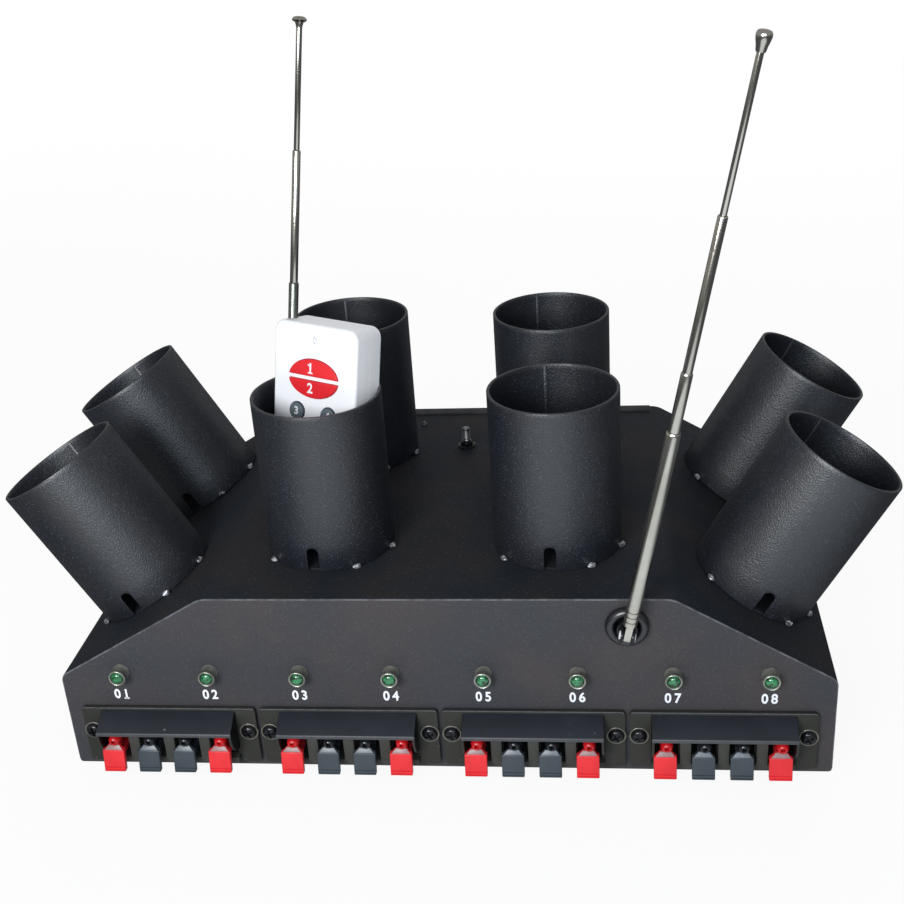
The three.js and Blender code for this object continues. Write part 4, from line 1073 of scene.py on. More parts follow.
@dataclass
class Housing:
    """Folded steel housing with its stud, its tube seats and its openings."""

    width: float = 311.932
    low: float = 4.0
    side_top: float = 47.6
    deck_half: float = 92.4
    sheet: float = 1.5
    bend: float = 2.6
    corner: float = 1.6
    rim: float = 0.5
    pierce: float = 3.0
    lamp_pitch: float = 37.105
    lamp_rise: float = 50.3
    lamp_hole: float = 3.3
    block_pitch: float = 74.982
    window: Triple = (60.5, 6.0, 17.6)
    window_rise: float = 18.7
    grommet: Triple = (75.0, 6.3, 73.0)
    switch: Triple = (103.966, 13.2, 19.4)
    switch_rise: float = 28.0
    seat: Profile = ((24.3, -0.7), (24.3, 0.35), (24.05, 0.6))
    stud: Triple = (0.8, 52.101, DECK)
    thread_crest: float = 1.9
    thread_root: float = 1.6
    thread_from: float = 2.6
    thread_step: float = 0.45
    flange_inset: float = 6.0
    flange_reach: float = 7.6
    flange_sheet: float = 0.7
    flange_gap: float = 0.4
    flange_rise: float = 0.2

    def build(self) -> None:
        """Builds the skin, the stud and the flange."""
        stand_in(self.skin(), Slot.BLACK_COAT, "base", "housing_shell")
        stand_in(self.deck_stud(), Slot.ZINC, "base", "housing_shell")
        stand_in(self.flange(), Slot.BLACK_COAT, "base", "housing_shell")

    def skin(self) -> Piece:
        """Folds the wrapper with its panels from a cube.

        Returns:
            The housing's skin.
        """
        middle, foot = (FRONT + BACK) / 2, self.low + self.sheet
        size = (self.width, BACK - FRONT, self.side_top - self.low)
        skin = Bench.cube("housing_skin", size, (0, middle, (self.low + self.side_top) / 2))
        wear(skin, PANEL_COAT, FOLD_HIGHLIGHT_COAT, DECK_SHADE_COAT)
        with Bench.editing(skin):
            Bench.pick_faces(skin, lambda c, n: n.z > 0.9)
            Bench.extrude((0, 0, DECK - self.side_top))
            Bench.resize((2 * self.deck_half / self.width, 1, 1), (0, middle, DECK))
            Bench.pick_all()
            bpy.ops.mesh.dissolve_limited(angle_limit=math.radians(1))
            Bench.round_edges(
                skin, self.bend, 5, lambda a, b, n: runs_deep(a, b, n) and a.z > foot
            )
            Bench.round_edges(
                skin, self.corner, 3, lambda a, b, n: runs_deep(a, b, n) and a.z < foot
            )
            # The rounded edges round the panels take material 1, the painted highlight.
            Bench.round_edges(skin, self.rim, 3, self.borders_panel, material=1)
            Bench.pick_faces(skin, lambda c, n: n.z < -0.9 and c.z < foot)
            bpy.ops.mesh.delete(type="FACE")
        Bench.thicken(skin, self.sheet)
        Bench.cut(skin, *self.openings())
        # Faces that look neither front nor back take the deck coat's painted shade.
        for face in skin.data.polygons:
            if face.material_index == 0 and abs(face.normal.y) < 0.7:
                face.material_index = 2
        Bench.smooth(skin, 25)
        return Bench.join("housing_skin", skin, *self.seats())

    def borders_panel(self, first: Vector, second: Vector, normals: list[Vector]) -> bool:
        """Says whether an edge lies between the front or back panel and the wrapper."""
        if max(first.z, second.z) < self.low + self.sheet:
            return False
        return len(normals) == 2 and sum(abs(n.y) > 0.9 for n in normals) == 1

    def openings(self) -> list[Piece]:
        """Gives the cutters for terminals, lamps, grommet and switch."""
        through = (-self.pierce, self.pierce)
        cutters = [
            Bench.cube("window", self.window, (x, FRONT, self.window_rise))
            for x in row(4, self.block_pitch)
        ]
        hole = Bench.rod("hole", self.lamp_hole, *through, 24)
        places = [outward(x, FRONT, self.lamp_rise) for x in row(8, self.lamp_pitch)]
        cutters += Bench.spread(hole, "hole", places)
        x, radius, z = self.grommet
        around = Bench.rod("hole", radius, *through, 32)
        cutters.append(Bench.place(around, outward(x, FRONT, z)))
        x, wide, high = self.switch
        size = (wide, 2 * self.pierce, high)
        cutters.append(Bench.cube("window", size, (x, BACK, self.switch_rise)))
        return cutters

    def seats(self) -> list[Piece]:
        """Gives the raised round seats inside the tubes."""
        seat = Bench.turned("seat", self.seat, 64)
        wear(seat, PANEL_COAT, FOLD_HIGHLIGHT_COAT, DECK_SHADE_COAT)
        # The seats take the deck coat's painted shade.
        refinish(seat, 2)
        Bench.smooth(seat, 25)
        return Bench.spread(seat, "seat", tube_stands(0.0))

    def flange(self) -> Piece:
        """Folds the back panel's flange over the rear edge of the deck.

        Returns:
            The flange.
        """
        wide, half = 2 * self.deck_half - self.flange_inset, self.flange_reach / 2
        size = (wide, self.flange_reach, self.flange_sheet)
        flange = Bench.cube("deck_flange", size, (0, 0, 0))
        with Bench.editing(flange):
            Bench.pick_faces(flange, lambda c, n: n.z > 0.9)
            Bench.resize((1 - 2 / wide, 0.9, 1), (0, half, self.flange_sheet / 2))
        Bench.soften(flange, 0.15)
        wear(flange, FLANGE_COAT, angle=35)
        stand = moved((0, BACK - self.flange_gap - half, DECK + self.flange_rise))
        return Bench.place(flange, stand)

    def deck_stud(self) -> Piece:
        """Builds the threaded stud with its washer and nut.

        Returns:
            The stud.
        """
        crest, root = self.thread_crest, self.thread_root
        rises = [self.thread_from + self.thread_step * i for i in range(14)]
        thread = [(crest if i % 2 else root, rise) for i, rise in enumerate(rises)]
        profile = [(crest, -0.7), *thread, (1.85, 8.9), (1.4, 9.4)]
        stud = Bench.turned("stud", profile, 16)
        washer = Bench.turned("washer", [(4.3, -0.7), (4.3, 0.6), (4.15, 0.7)], 28)
        nut = Bench.turned("nut", [(3.3, 0.5), (3.3, 2.4), (2.9, 2.7)], 6)
        Bench.soften(nut, 0.25)
        wear(stud, ZINC, DARK_STEEL_AND_SHADE)
        for dark in (washer, nut):
            wear(dark, ZINC, DARK_STEEL_AND_SHADE)
            refinish(dark, 1)
        whole = Bench.join("deck_stud", stud, washer, nut)
        Bench.smooth(whole)
        return Bench.place(whole, moved(self.stud))


def tube_stands(lift: float) -> list[Matrix]:
    """Gives where the eight tubes stand, in the order of their numbers.

    Args:
        lift: How far above the deck or slope, square to it.

    Returns:
        Their stands.
    """
    front, back, run, rise = -40.899, 49.301, 126.435, 64.65
    left, right = (
        [moved((side * run, y, rise)) @ turned_by(side * SLOPE, "Y") for y in (front, back)]
        for side in (-1, 1)
    )
    places = ((-47.3, front), (-48.7, back), (47.3, front), (43.1, back))
    level = [moved((x, y, DECK)) for x, y in places]
    return [stand @ moved((0, 0, lift)) for stand in [*left, *level, *right]]


@dataclass
class EffectTubes:
    """Eight open tubes, each with a wire slot, a rolled seam and tack welds."""

    radius: float = 26.2
    wall: float = 1.3
    height: float = 67.6
    sides: int = 112
    rings: tuple[float, ...] = (0.17, 0.45, 0.72, 0.97, 1.0)
    slot_width: float = 4.8
    slot_height: float = 10.4
    seam_width: float = 0.7
    seam_depth: float = 1.6
    seam_short: float = 1.2
    seam_angle: float = 104
    lift: float = 0.3
    turns: tuple[float, ...] = (0, 0, -6.0, 2.0, -4.5, 3.0, 0, 0)
    bead_radius: float = 1.6
    bead_shape: Triple = (0.8, 1.25, 0.72)
    bead_angles: tuple[float, ...] = (-13, -58, -141, 115)
    bead_out: float = 0.9
    stray_bead: Triple = (-23.0, 77.1, DECK)
    stray_lift: float = 0.4

    def build(self) -> None:
        """Builds the tubes and their welds."""
        stands = [
            stand @ turned_by(turn, "Z")
            for stand, turn in zip(tube_stands(self.lift), self.turns, strict=True)
        ]
        for number, tube in enumerate(Bench.spread(self.tube(), "launch_tube_{}", stands), 1):
            stand_in(tube, Slot.TUBE_COAT, "base", f"effect_tube_{number}")
        self.welds()

    def tube(self) -> Piece:
        """Draws one tube up from a circle.

        Returns:
            The tube, on its own foot.
        """
        tube = Bench.disc("tube", self.radius, self.sides, filled=False)
        with Bench.editing(tube):
            Bench.pick_all()
            low = 0.0
            for share in self.rings:
                Bench.extrude((0, 0, self.height * share - low))
                low = self.height * share
        Bench.tidy(tube)
        wear(tube, TUBE_COAT, RIM_HIGHLIGHT_COAT)
        Bench.thicken(tube, self.wall)
        Bench.cut(tube, self.slot())
        Bench.soften(tube, 0.3, angle=40)
        Bench.smooth(tube, 30)
        # The top rim takes the painted highlight of the rim coat.
        refinish(tube, 1, lambda c, n: c.z > self.height - 0.2)
        size = (self.seam_width, self.seam_depth, self.height - self.seam_short)
        seam = Bench.cube("seam", size, (0, 0, self.height / 2))
        Bench.soften(seam, 0.3)
        wear(seam, TUBE_COAT, RIM_HIGHLIGHT_COAT, angle=35)
        inside = moved((self.radius - self.wall, 0, 0))
        Bench.place(seam, turned_by(self.seam_angle, "Z") @ inside)
        return Bench.join("tube", tube, seam)

    def slot(self) -> Piece:
        """Gives the cutter for the wire slot, round at its top.

        Returns:
            The cutter.
        """
        top = self.slot_height
        high = top + 2
        slot = Bench.cube("slot", (self.slot_width, 8, high), (0, -self.radius, top - high / 2))
        arch = self.slot_width / 2 * 0.98
        with Bench.editing(slot):
            Bench.round_edges(
                slot, arch, 7, lambda a, b, n: runs_deep(a, b, n) and a.z > top - 0.1
            )
        return slot

    def welds(self) -> None:
        """Sets lumpy beads of weld round each tube, and one stray bead on the deck."""
        bpy.ops.mesh.primitive_ico_sphere_add(subdivisions=2, radius=self.bead_radius * MM)
        bead = Bench.started("bead")
        with Bench.editing(bead):
            Bench.pick_all()
            Bench.resize(self.bead_shape, (0, 0, 0))
            bpy.ops.transform.vertex_random(offset=0.4 * MM, uniform=0.6, normal=0.4, seed=7)
        Bench.modify(bead, "SUBSURF", levels=1, render_levels=1)
        wear(bead, WELD_METAL_AND_GLINT, angle=80)
        out = moved((self.radius + self.bead_out, 0, self.bead_radius * 0.55))
        made = []
        for number, stand in enumerate(tube_stands(self.lift)):
            for turn, angle in enumerate(self.bead_angles):
                spun = turned_by(180 * ((number + turn) % 4), "Z")
                made.append(Bench.copy(bead, "bead", stand @ turned_by(angle, "Z") @ out @ spun))
        stray = moved(self.stray_bead) @ moved((0, 0, self.stray_lift))
        made.append(Bench.place(bead, stray))
        nodes = [f"effect_tube_{number}" for number in range(1, 9)]
        stand_in(Bench.join("tack_welds", *made), Slot.BLACK_COAT, "base", *nodes)


@dataclass
class CueLamps:
    """Eight lamps in round bezels, with their numbers below."""

    pitch: float = 37.105
    rise: float = 50.3
    bezel: Profile = (
        (2.5, -10.8), (2.5, -4.2), (4.8, -4.2), (4.8, -1.8), (3.0, -1.8), (3.0, 0.2),
        (3.45, 0.2), (3.45, 0.3), (3.3, 0.5), (3.3, 4.6), (3.5, 4.9), (3.5, 5.5),
        (3.4, 5.7), (3.2, 5.8), (3.05, 5.7), (2.75, 5.6), (2.55, 5.2), (2.5, 4.6),
    )
    barrel_top: float = 4.7
    lens: Profile = (
        (2.4, 3.6), (2.46, 4.9), (2.3, 5.5), (1.9, 6.0), (1.1, 6.3), (0.0, 6.4),
    )
    number_rise: float = 38.8
    number_shift: float = -0.7
    number_step: float = 37.36
    number_size: float = 6.2
    number_weight: float = 0.17
    number_pitch: float = 3.75
    number_share: float = 0.84
    print_gap: float = 0.03
    one_foot: Triple = (2.1, 0.08, 0.6)
    one_foot_drop: float = 1.95

    def build(self) -> None:
        """Builds bezels, lenses and numbers."""
        bezel = Bench.turned("bezel", self.bezel, 32)
        wear(bezel, BEZEL_CHROME, BARREL_METAL)
        refinish(bezel, 1, lambda c, n: c.z < self.barrel_top)
        Bench.smooth(bezel, 40)
        lens = Bench.turned("lens", self.lens, 24)
        wear(lens, LENS_GREEN, angle=60)
        kinds = ((bezel, "lamp_bezel", Slot.NICKEL), (lens, "lamp_lens", Slot.LAMP_GREEN))
        numbers = []
        middles = zip(row(8, self.pitch), row(8, self.number_step), strict=True)
        for index, (x, middle) in enumerate(middles, 1):
            stand = outward(x, FRONT, self.rise)
            for pattern, name, slot in kinds:
                made = Bench.copy(pattern, f"{name}_{index}", stand)
                stand_in(made, slot, "base", f"cue_led_{index}")
            for side, figure in zip(row(2, self.number_pitch), f"0{index}", strict=True):
                numbers.append(self.figure(figure, middle + self.number_shift + side))
        Bench.drop(bezel, lens)
        printed = Bench.join("cue_numbers", *numbers)
        wear(printed, PRINT_WHITE)
        stand_in(printed, Slot.WHITE_PLASTIC, "base", "housing_shell")

    def figure(self, words: str, place: float) -> Piece:
        """Prints one narrow bold figure on the panel, with a foot under a one.

        Args:
            words: The figure.
            place: Its middle along the panel.

        Returns:
            The figure.
        """
        y, z = FRONT - self.print_gap, self.number_rise
        face = outward(place, y, z) @ Matrix.Diagonal((self.number_share, 1, 1, 1))
        made = Bench.text("number", words, self.number_size, self.number_weight, face)
        if words != "1":
            return made
        foot = Bench.cube("foot", self.one_foot, (place, y, z - self.one_foot_drop))
        return Bench.join("number", made, foot)


@dataclass
class TerminalBlocks:
    """Four lever terminal blocks with their hoods, screws and sixteen levers."""

    rise: float = 7.0
    pitch: float = 74.982
    width: float = 73.182
    height: float = 26.6
    gap: float = 0.3
    plate: float = 2.1
    corner: float = 1.5
    body: Triple = (59.9, 12.3, 17.0)
    body_depth: float = 4.85
    pocket: Triple = (9.6, 14, 14.2)
    pocket_rise: float = 11.7
    wall: Triple = (4.4, 4.6, 14.6)
    lug: Triple = (2.8, 7.5, 0.8)
    sill_depth: float = 5.2
    sill_height: float = 2.6
    hood_half: float = 28.25
    hood_reach: float = 12.0
    hood_root: float = 25.8
    hood_fall: float = 5.2
    hood_sheet: float = 1.6
    cheek: float = 1.1
    screw: Profile = (
        (3.95, -0.9), (3.95, 0.15), (3.75, 0.35), (3.45, 0.3), (3.25, 0.05), (3.1, 0.4),
        (2.9, 1.1), (2.4, 1.6), (1.6, 1.9), (0.8, 2.0),
    )
    screw_ring: float = 3.3
    screw_inset: float = 3.6
    screw_rise: float = 15.4
    recess: Triple = (3.9, 0.85, 2.4)
    lever_pitch: float = 14.9
    lever_width: float = 9.0
    tab_shift: float = -0.6
    tab_top: float = 11.2
    tab_low: float = 1.7
    grooves: Profile = ((-12.2, 3.8), (-12.4, 2.6))
    pivot: Triple = (0, 0.5, 8.0)
    peg: Profile = (
        (0.85, 4.6), (2.0, 4.6), (2.4, 5.4), (2.6, 6.8), (2.5, 8.4), (2.15, 9.6),
        (1.6, 10.35), (1.05, 10.6), (0.85, 10.4),
    )
    peg_rise: float = 15.0

    def build(self) -> None:
        """Builds blocks, screws and levers, and sets the copies in place."""
        block, screws = self.block(), self.screws()
        red, grey = Slot.RED_PLASTIC, Slot.GREY_PLASTIC
        levers = {
            red: self.lever(RED_PLASTIC, RED_SHOULDER_GLINT, RED_PEG),
            grey: self.lever(GREY_PLASTIC, GREY_SHOULDER_GLINT, GREY_PEG),
        }
        count = 0
        for number, x in enumerate(row(4, self.pitch), 1):
            stand = moved((x, FRONT, self.rise))
            for pattern, name, slot in (
                (block, "lever_block", Slot.BLACK_PLASTIC),
                (screws, "block_screws", Slot.ZINC),
            ):
                made = Bench.copy(pattern, f"{name}_{number}", stand)
                stand_in(made, slot, "base", f"terminal_block_{number}")
            for place, slot in zip(row(4, self.lever_pitch), (red, grey, grey, red), strict=True):
                count += 1
                at = stand @ moved((place, 0, 0))
                made = Bench.copy(levers[slot], f"press_lever_{count}", at)
                stand_in(made, slot, f"lever_{count}", f"terminal_lever_{count}")
        Bench.drop(block, screws, *levers.values())

    def across(self, name: str, count: int, size: Triple, y: float, z: float) -> list[Piece]:
        """Gives a row of cubes at the levers' pitch, with their middles at y and z."""
        return [Bench.cube(name, size, (x, y, z)) for x in row(count, self.lever_pitch)]

    def block(self) -> Piece:
        """Builds one block: plate, hood, cheeks, sill and pockets.

        Returns:
            The block, with its lower edge at zero and the panel's face at zero.
        """
        face = self.gap + self.plate
        middle = (0, -self.gap - self.plate / 2, self.height / 2)
        plate = Bench.cube("plate", (self.width, self.plate, self.height), middle)
        with Bench.editing(plate):
            Bench.round_edges(plate, self.corner, 6, runs_deep)
        body = Bench.cube("body", self.body, (0, self.body_depth, self.pocket_rise))
        Bench.soften(body, 0.4)
        Bench.unite(plate, body)
        Bench.cut(plate, *self.across("pocket", 4, self.pocket, 1.0, self.pocket_rise))
        Bench.soften(plate, 0.35, angle=40)
        hood, sill = self.hood(face), self.sill()
        walls = self.across("wall", 3, self.wall, -4.5, 12.0)
        for wall in walls:
            Bench.soften(wall, 0.3)
        lugs = self.across("lug", 4, self.lug, 13.25, 8.0)
        block = Bench.join("block", plate, *hood, sill, *walls, *lugs)
        self.paint(block, face)
        Bench.smooth(block)
        return block

    def paint(self, block: Piece, face: float) -> None:
        """Gives a block its finishes: a lighter fascia under the hood as painted light, a darker
        bluish hood and near-black cheeks as painted shade, and a lighter hood lip and upper edge as
        painted highlights.

        Args:
            block: The block.
            face: How far the plate's face stands out.
        """
        wear(
            block, BLOCK_PLASTIC, HOOD_SHADE_PLASTIC, LIP_HIGHLIGHT_PLASTIC, CHEEK_SHADE_PLASTIC, FASCIA_LIGHT_PLASTIC,
            EDGE_HIGHLIGHT_PLASTIC,
        )
        inner = self.hood_half - self.cheek - 0.1
        lip = self.hood_root - self.hood_fall - self.hood_sheet - 0.1
        for index, wanted in (
            # painted light on the fascia under the hood
            (4, lambda c, n: -7.2 < c.y < -2.6 and c.z < 19.6 and abs(c.x) < inner),
            # painted shade on the hood's upward faces
            (1, lambda c, n: n.z > 0.3 and c.z > 19.7 and c.y < -face),
            # painted shade on the cheeks' sides
            (3, lambda c, n: abs(n.x) > 0.6 and c.y < -face - 0.2 and abs(c.x) > inner and c.z > 4),
            # painted highlight on the hood's lip
            (2, lambda c, n: n.y < -0.4 and c.y < 0.5 - self.hood_reach and c.z > lip),
            # painted highlight on the plate's upper edge
            (5, lambda c, n: 0.2 < n.z < 0.96 and n.y < -0.2 and self.on_upper_edge(c, face)),
        ):
            refinish(block, index, wanted)

    def on_upper_edge(self, centre: Vector, face: float) -> bool:
        """Says whether a face lies at the upper edge of the plate, behind the hood's root."""
        return centre.y > -face - 0.1 and centre.z > self.height - 0.6

    def hood(self, face: float) -> list[Piece]:
        """Builds the sloped roof over the levers, with its rounded end cheeks.

        Args:
            face: How far the plate's face stands out.

        Returns:
            Roof and cheeks.
        """
        size = (2 * self.hood_half, 0.8, self.hood_sheet)
        middle = (0, -face / 2 - 0.4, self.hood_root - self.hood_sheet / 2)
        roof = Bench.cube("roof", size, middle)
        with Bench.editing(roof):
            Bench.pick_faces(roof, lambda c, n: n.y < -0.9)
            Bench.extrude((0, face / 2 + 0.8 - self.hood_reach, -self.hood_fall))
        Bench.soften(roof, 0.4, 3)
        outline = [
            (0, -1.2, self.hood_root), (0, -self.hood_reach, self.hood_root - self.hood_fall),
            (0, -11.9, 17.5), (0, -11.2, 14.4), (0, -9.6, 11.6), (0, -7.2, 9.3),
            (0, -4.4, 7.8), (0, -1.2, 7.0),
        ]
        left = Bench.prism("cheek", outline, (self.cheek, 0, 0))
        Bench.soften(left, 0.35, angle=50)
        right = Bench.copy(left, "cheek", moved((self.hood_half - self.cheek, 0, 0)))
        Bench.place(left, moved((-self.hood_half, 0, 0)))
        return [roof, left, right]

    def sill(self) -> Piece:
        """Builds the narrow sill under the levers."""
        size = (2 * self.hood_half, self.sill_depth, self.sill_height)
        sill = Bench.cube("sill", size, (0, -3.0, 3.0))
        Bench.soften(sill, 0.4)
        return sill

    def screws(self) -> Piece:
        """Builds the two cross-recess screws of a block.

        Returns:
            Both screws as one piece.
        """
        head = Bench.turned("head", self.screw, 32)
        long, narrow, deep = self.recess
        arms = [
            Bench.cube("arm", size, (0, 0, 2.0))
            for size in ((long, narrow, deep), (narrow, long, deep))
        ]
        for arm in arms:
            Bench.cut(head, arm)
        wear(head, DARK_STEEL_AND_SHADE, SCREW_RING)
        refinish(head, 1, lambda c, n: math.hypot(c.x, c.y) > self.screw_ring and c.z > 0)
        Bench.smooth(head, 40)
        seat, side = -self.gap - self.plate, self.width / 2 - self.screw_inset
        right = outward(side, seat, self.screw_rise) @ turned_by(31, "Z")
        left = outward(-side, seat, self.screw_rise) @ turned_by(12, "Z")
        other = Bench.copy(head, "head", right)
        return Bench.join("screws", Bench.place(head, left), other)

    def lever(self, finish: Finish, pale: Finish, dark: Finish) -> Piece:
        """Builds one lever: slanted finger tab with grip grooves, shoulder, peg and neck.

        Args:
            finish: Its plastic.
            pale: The paler finish of its shoulder's front, a painted glint.
            dark: The finish of the peg that the wire goes into.

        Returns:
            The lever, at the middle of its pocket.
        """
        wide, shift = self.lever_width, self.tab_shift
        half, top, low = wide / 2, self.tab_top, self.tab_low
        corners = ((-10.5, top), (-12.35, low), (-9.9, low), (-7.9, top))
        tab = Bench.prism("tab", [(-half, y, z) for y, z in corners], (wide, 0, 0))
        Bench.soften(tab, 0.4, 3)
        size = (wide + 1, 1.0, 0.5)
        Bench.cut(tab, *[Bench.cube("groove", size, (0, y, z)) for y, z in self.grooves])
        Bench.place(tab, moved((shift, 0, 0)))
        shoulder = Bench.cube("shoulder", (wide - 0.3, 2.6, 2.4), (shift, -9.2, 11.9))
        with Bench.editing(shoulder):
            Bench.pick_faces(shoulder, lambda c, n: n.z > 0.9)
            Bench.resize((0.5, 0.45, 1), (shift / 2, -8.0, 13.1))
        Bench.soften(shoulder, 0.25)
        web = Bench.cube("web", (4.0, 3.0, 3.6), (0, -7.0, 12.9))
        neck = Bench.cube("neck", (4.6, 9.0, 3.2), (0, -4.0, 8.0))
        trunnion = Bench.rod("trunnion", 1.4, -2.4, 2.4, 16)
        Bench.place(trunnion, moved(self.pivot) @ turned_by(90, "Y"))
        peg = Bench.turned("peg", self.peg, 28, ring=True)
        Bench.place(peg, outward(0, 0, self.peg_rise))
        for piece in (tab, shoulder, web, neck, trunnion, peg):
            wear(piece, finish, pale, dark)
        # The shoulder's front faces take the painted glint.
        refinish(shoulder, 1, lambda c, n: n.y < -0.3)
        refinish(web, 2)
        refinish(peg, 2)
        lever = Bench.join("lever", tab, shoulder, web, neck, trunnion, peg)
        Bench.smooth(lever, 40)
        return lever


@dataclass
class PanelAntenna:
    """Telescopic antenna in its rubber grommet on the front panel."""

    place: Triple = (75.0, -95.899, 73.0)
    lean: float = 11.1
    sides: int = 32
    grommet: Profile = (
        (4.4, -3.6), (7.4, -3.6), (7.4, -1.8), (6.0, -1.8), (6.0, 0.3), (8.3, 0.3), (8.5, 0.9),
        (8.45, 1.6), (8.2, 2.3), (7.75, 2.9), (7.1, 3.35), (6.4, 3.5), (5.7, 3.35), (5.1, 2.9),
        (4.7, 2.3), (4.45, 1.5),
    )
    ear_radius: float = 2.9
    ear_from: float = 1.6
    ear_sheet: float = 1.1
    ear_reach: float = 4.8
    pin: Profile = (
        (1.4, -3.1), (1.7, -2.8), (1.7, -2.6), (1.0, -2.6), (1.0, 2.6), (1.7, 2.6), (1.7, 2.8),
        (1.4, 3.1),
    )
    shank: Profile = (
        (3.9, -3.3), (4.1, -3.5), (4.1, -11.4), (6.2, -11.4), (6.2, -13.4),
    )
    tongue_radius: float = 2.4
    tongue_sheet: float = 2.9
    grooves: tuple[float, ...] = (7.0, 9.2, 11.4)
    root_radius: float = 2.7
    groove_radius: float = 2.25
    middle: Profile = (
        (2.05, 78.2), (2.15, 78.4), (2.15, 108.1), (2.05, 108.6), (1.9, 108.8), (1.78, 108.8),
        (1.78, 163.7), (1.68, 164.05), (1.47, 164.2), (1.35, 164.2), (1.35, 78.2),
    )
    tip: Profile = (
        (1.1, 156.2), (1.2, 156.4), (1.2, 215.6), (1.6, 215.8), (1.75, 216.4), (1.95, 217.6),
        (2.4, 219.2), (2.65, 220.4), (2.6, 221.4), (2.2, 222.1), (1.4, 222.4),
    )

    def build(self) -> None:
        """Builds the grommet, the fork and the three sections."""
        grommet = Bench.turned("rubber_grommet", self.grommet, 48, ring=True)
        wear(grommet, RUBBER, angle=40)
        Bench.place(grommet, outward(self.place[0], FRONT, self.place[2]))
        stand_in(grommet, Slot.SOFT_RUBBER, "base", "antenna_grommet")
        pieces = [
            self.fork(),
            self.root(),
            Bench.turned("antenna_middle_tube", self.middle, self.sides, ring=True),
            Bench.turned("antenna_tip_rod", self.tip, self.sides),
        ]
        rides = (
            ("antenna_knuckle", "antenna_fork"),
            ("antenna_1", "antenna_section_1"),
            ("antenna_2", "antenna_section_2"),
            ("antenna_3", "antenna_section_3"),
        )
        for piece, (body, node) in zip(pieces, rides, strict=True):
            if not piece.data.materials:
                wear(piece, NICKEL)
            Bench.smooth(piece, 40)
            Bench.place(piece, moved(self.place) @ turned_by(self.lean, "Y"))
            stand_in(piece, Slot.NICKEL, body, node)

    @staticmethod
    def arc(x: float, radius: float, start: float, step: float) -> list[Triple]:
        """Gives half a circle across X, in steps of degrees."""
        angles = [math.radians(start + step * i) for i in range(13)]
        return [(x, radius * math.cos(a), radius * math.sin(a)) for a in angles]

    def fork(self) -> Piece:
        """Builds the fork: two ears, their pin, the shank and its collar.

        Returns:
            The fork, with its pin along X.
        """
        x, radius, reach = self.ear_from, self.ear_radius, self.ear_reach
        outline = [(x, reach, -radius), *self.arc(x, radius, 270, -15), (x, reach, radius)]
        ear = Bench.prism("ear", outline, (self.ear_sheet, 0, 0))
        Bench.soften(ear, 0.25, angle=50)
        # Painted shade: the ears, down in the grommet's hole, take the dark steel all over.
        wear(ear, NICKEL, DARK_STEEL_AND_SHADE)
        refinish(ear, 1)
        other = Bench.copy(ear, "ear", moved((-2 * x - self.ear_sheet, 0, 0)))
        web = Bench.cube("web", (5.4, 1.5, 2 * radius), (0, 4.05, 0))
        Bench.soften(web, 0.25)
        pin = Bench.turned("pin", self.pin, 20)
        Bench.place(pin, turned_by(90, "Y"))
        shank = Bench.turned("shank", self.shank, self.sides)
        Bench.place(shank, OUTWARD)
        # Painted shade: the shank in the grommet's hole takes the dark steel all over.
        wear(shank, NICKEL, DARK_STEEL_AND_SHADE)
        refinish(shank, 1)
        return Bench.join("antenna_knuckle_fork", ear, other, web, pin, shank)

    def root(self) -> Piece:
        """Builds the thickest section, with its tongue and its ring grooves.

        Returns:
            The section, standing on its pivot.
        """
        x, wide = -self.tongue_sheet / 2, 2.2
        outline = [*self.arc(x, self.tongue_radius, 180, 15), (x, wide, 5.5), (x, -wide, 5.5)]
        tongue = Bench.prism("tongue", outline, (self.tongue_sheet, 0, 0))
        Bench.soften(tongue, 0.4, angle=50)
        hole = Bench.rod("hole", 1.15, -3, 3, 20)
        Bench.cut(tongue, Bench.place(hole, turned_by(90, "Y")))
        outer, inner = self.root_radius, self.groove_radius
        rings = []
        for low in self.grooves:
            rings += [(outer, low), (inner, low + 0.2), (inner, low + 0.5), (outer, low + 0.7)]
        crimp = [(2.75, 85.2), (2.6, 85.9), (2.4, 86.2), (2.3, 86.2), (2.3, 15.0)]
        tube = Bench.turned("tube", [(1.9, 4.6), (2.6, 5.2), *rings, *crimp], self.sides)
        return Bench.join("antenna_root_tube", tongue, tube)


